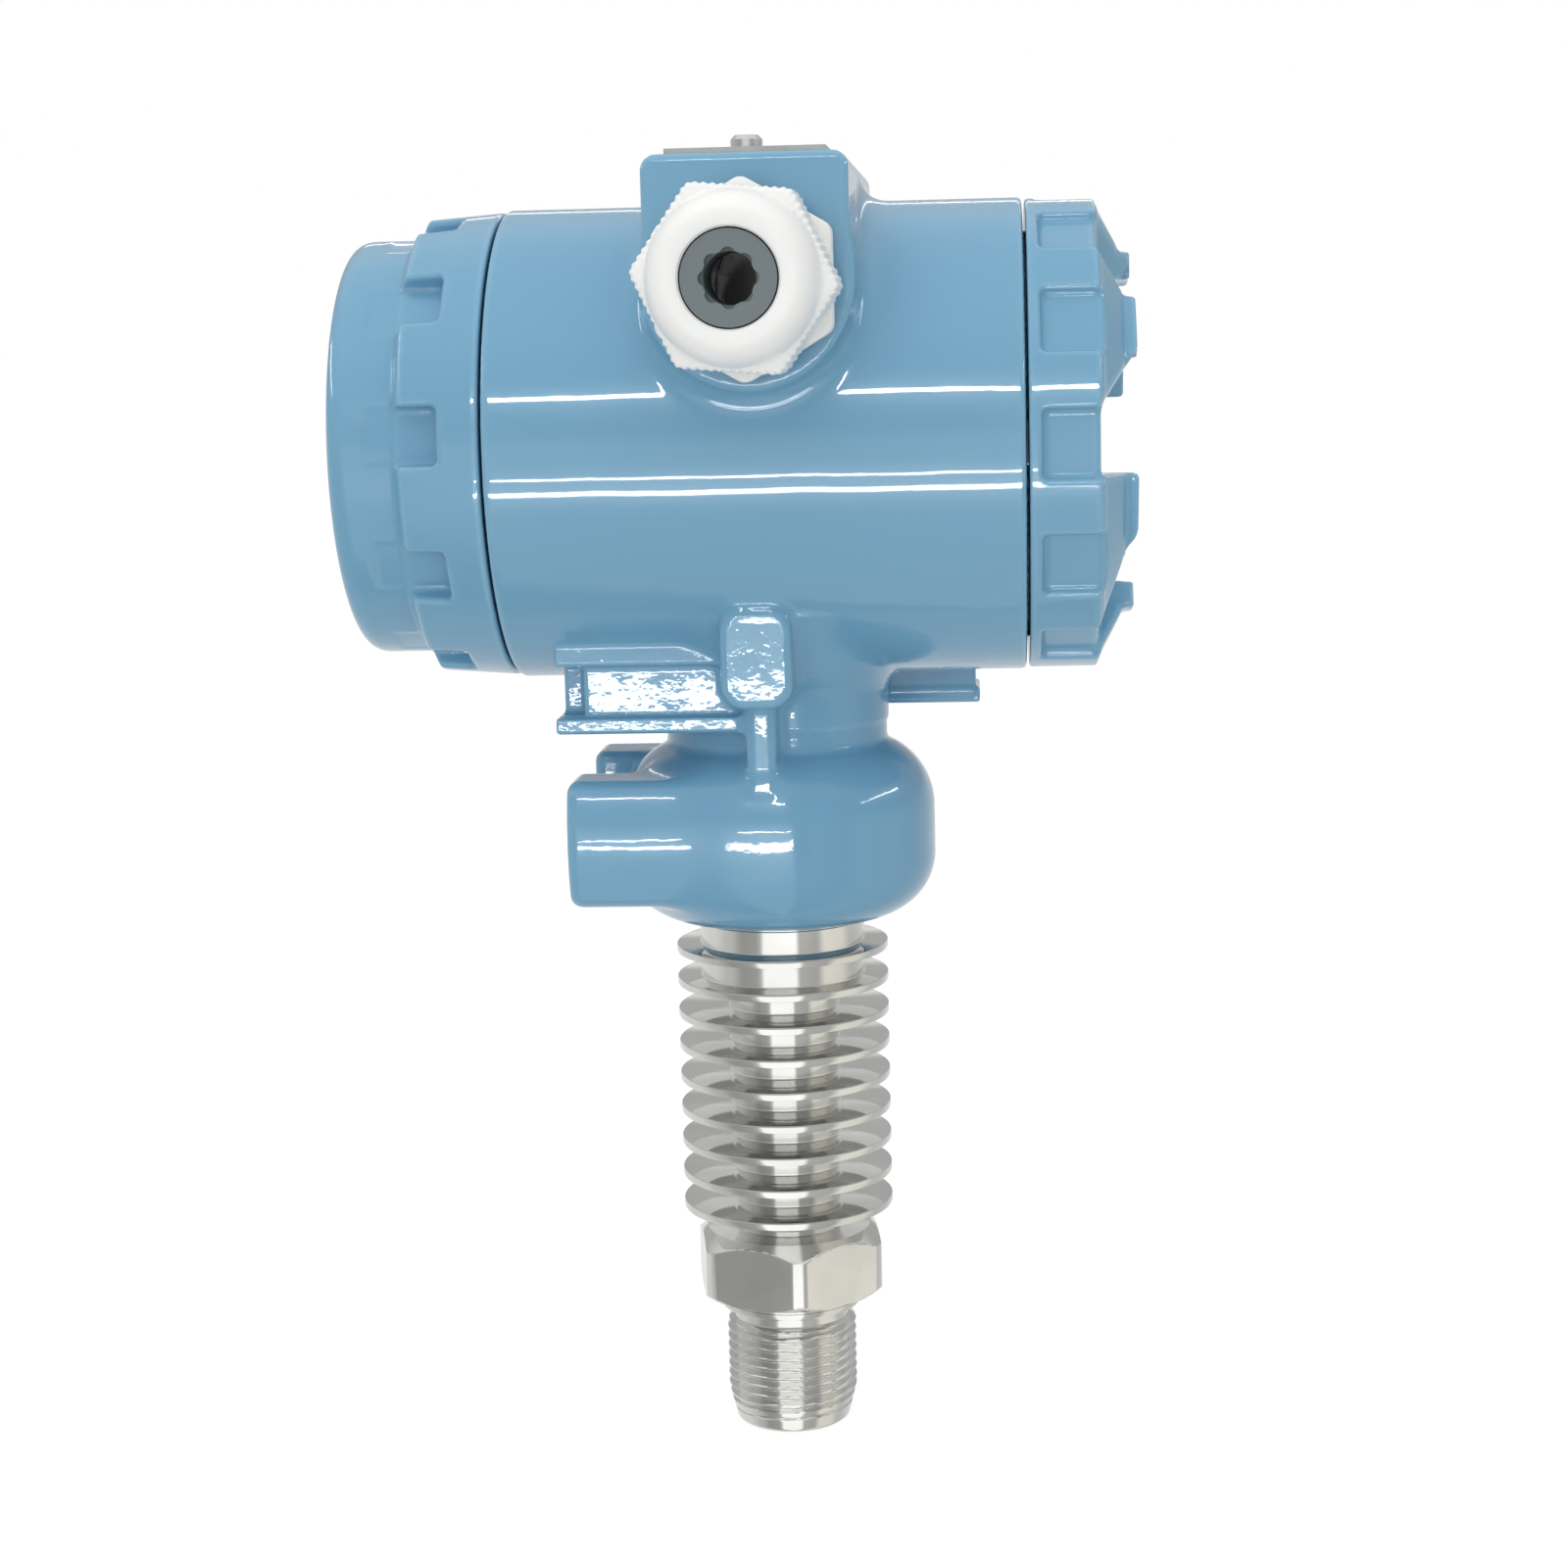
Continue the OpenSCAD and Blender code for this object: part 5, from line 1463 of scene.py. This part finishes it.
        g.link(last, 0, g.add("ShaderNodeOutputWorld"), "Surface")

    def enamel(self) -> bpy.types.Collection:
        """The painted pieces, which alone mirror the tubes."""
        found = bpy.data.collections.get("enamelled")
        if found is None:
            found = bpy.data.collections.new("enamelled")
            for name in self.enamelled:
                found.objects.link(bpy.data.objects[name])
        return found

    def lamp(self, name: str, place: Triple, aim: Triple, size: tuple[float, float],
             radiance: float, role: Role) -> None:
        """Hangs a rectangular lamp that the camera doesn't see.

        Args:
            name: the lamp's name.
            place: where it hangs, in metres.
            aim: the point that it faces.
            size: its width and height.
            radiance: its brightness, where 1 is white.
            role: whether it lights surfaces or mirrors in them.
        """
        data = bpy.data.lights.new(name, "AREA")
        data.shape = "RECTANGLE"
        data.size, data.size_y = size
        data.energy = radiance * math.pi * size[0] * size[1]
        obj = bpy.data.objects.new(name, data)
        bpy.context.scene.collection.objects.link(obj)
        obj.location = place
        obj.rotation_euler = (Vector(aim) - Vector(place)).to_track_quat("-Z", "Y").to_euler()
        obj.visible_camera = False
        obj.visible_diffuse = role is Role.LIGHT
        obj.visible_glossy = role is Role.MIRRORED
        if role is Role.MIRRORED:
            obj.light_linking.receiver_collection = self.enamel()

    def build(self) -> None:
        """Sets up everything round the object."""
        bpy.context.scene.view_settings.view_transform = "Standard"
        self.camera()
        self.floor()
        self.world()
        mid = (0.0, 0.0, 0.11)
        self.lamp("tube_high", (-0.025, -0.606, 0.409), (-0.025, 0, 0.11), (0.26, 0.022), 55, Role.MIRRORED)
        self.lamp("tube_low", (0.0125, -0.33, 0.061), (0.0125, 0, 0.12), (0.225, 0.006), 42, Role.MIRRORED)
        self.lamp("tube_lower", (0.0125, -0.28, 0.038), (0.0125, 0, 0.12), (0.225, 0.012), 34, Role.MIRRORED)
        self.lamp("sky", (-0.1, -0.25, 1.1), (0, 0, 0.1), (1.2, 1.0), 1.1, Role.LIGHT)
        self.lamp("front_fill", (-0.1, -1.2, 0.25), mid, (0.9, 0.7), 1.4, Role.LIGHT)
        self.lamp("back_tube", (0.05, 0.62, 0.42), mid, (0.6, 0.02), 4, Role.MIRRORED)
        self.lamp("left_tube", (-0.66, 0.02, 0.40), mid, (0.5, 0.02), 20, Role.MIRRORED)
        self.lamp("right_tube", (0.66, 0.0, 0.36), mid, (0.5, 0.02), 20, Role.MIRRORED)


def write_size() -> None:
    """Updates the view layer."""
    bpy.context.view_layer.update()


def main() -> None:
    """Builds the transmitter and its studio."""
    logging.basicConfig(level=logging.INFO, format="%(name)s %(message)s")
    CastHousing().build()
    DisplayCap().build()
    TerminalCap().build()
    CableGland().build()
    ProcessStem().build()
    DisplayPanel().build()
    trim_packed(TRIMS)
    Studio().build()
    write_size()


if __name__ == "__main__":
    main()
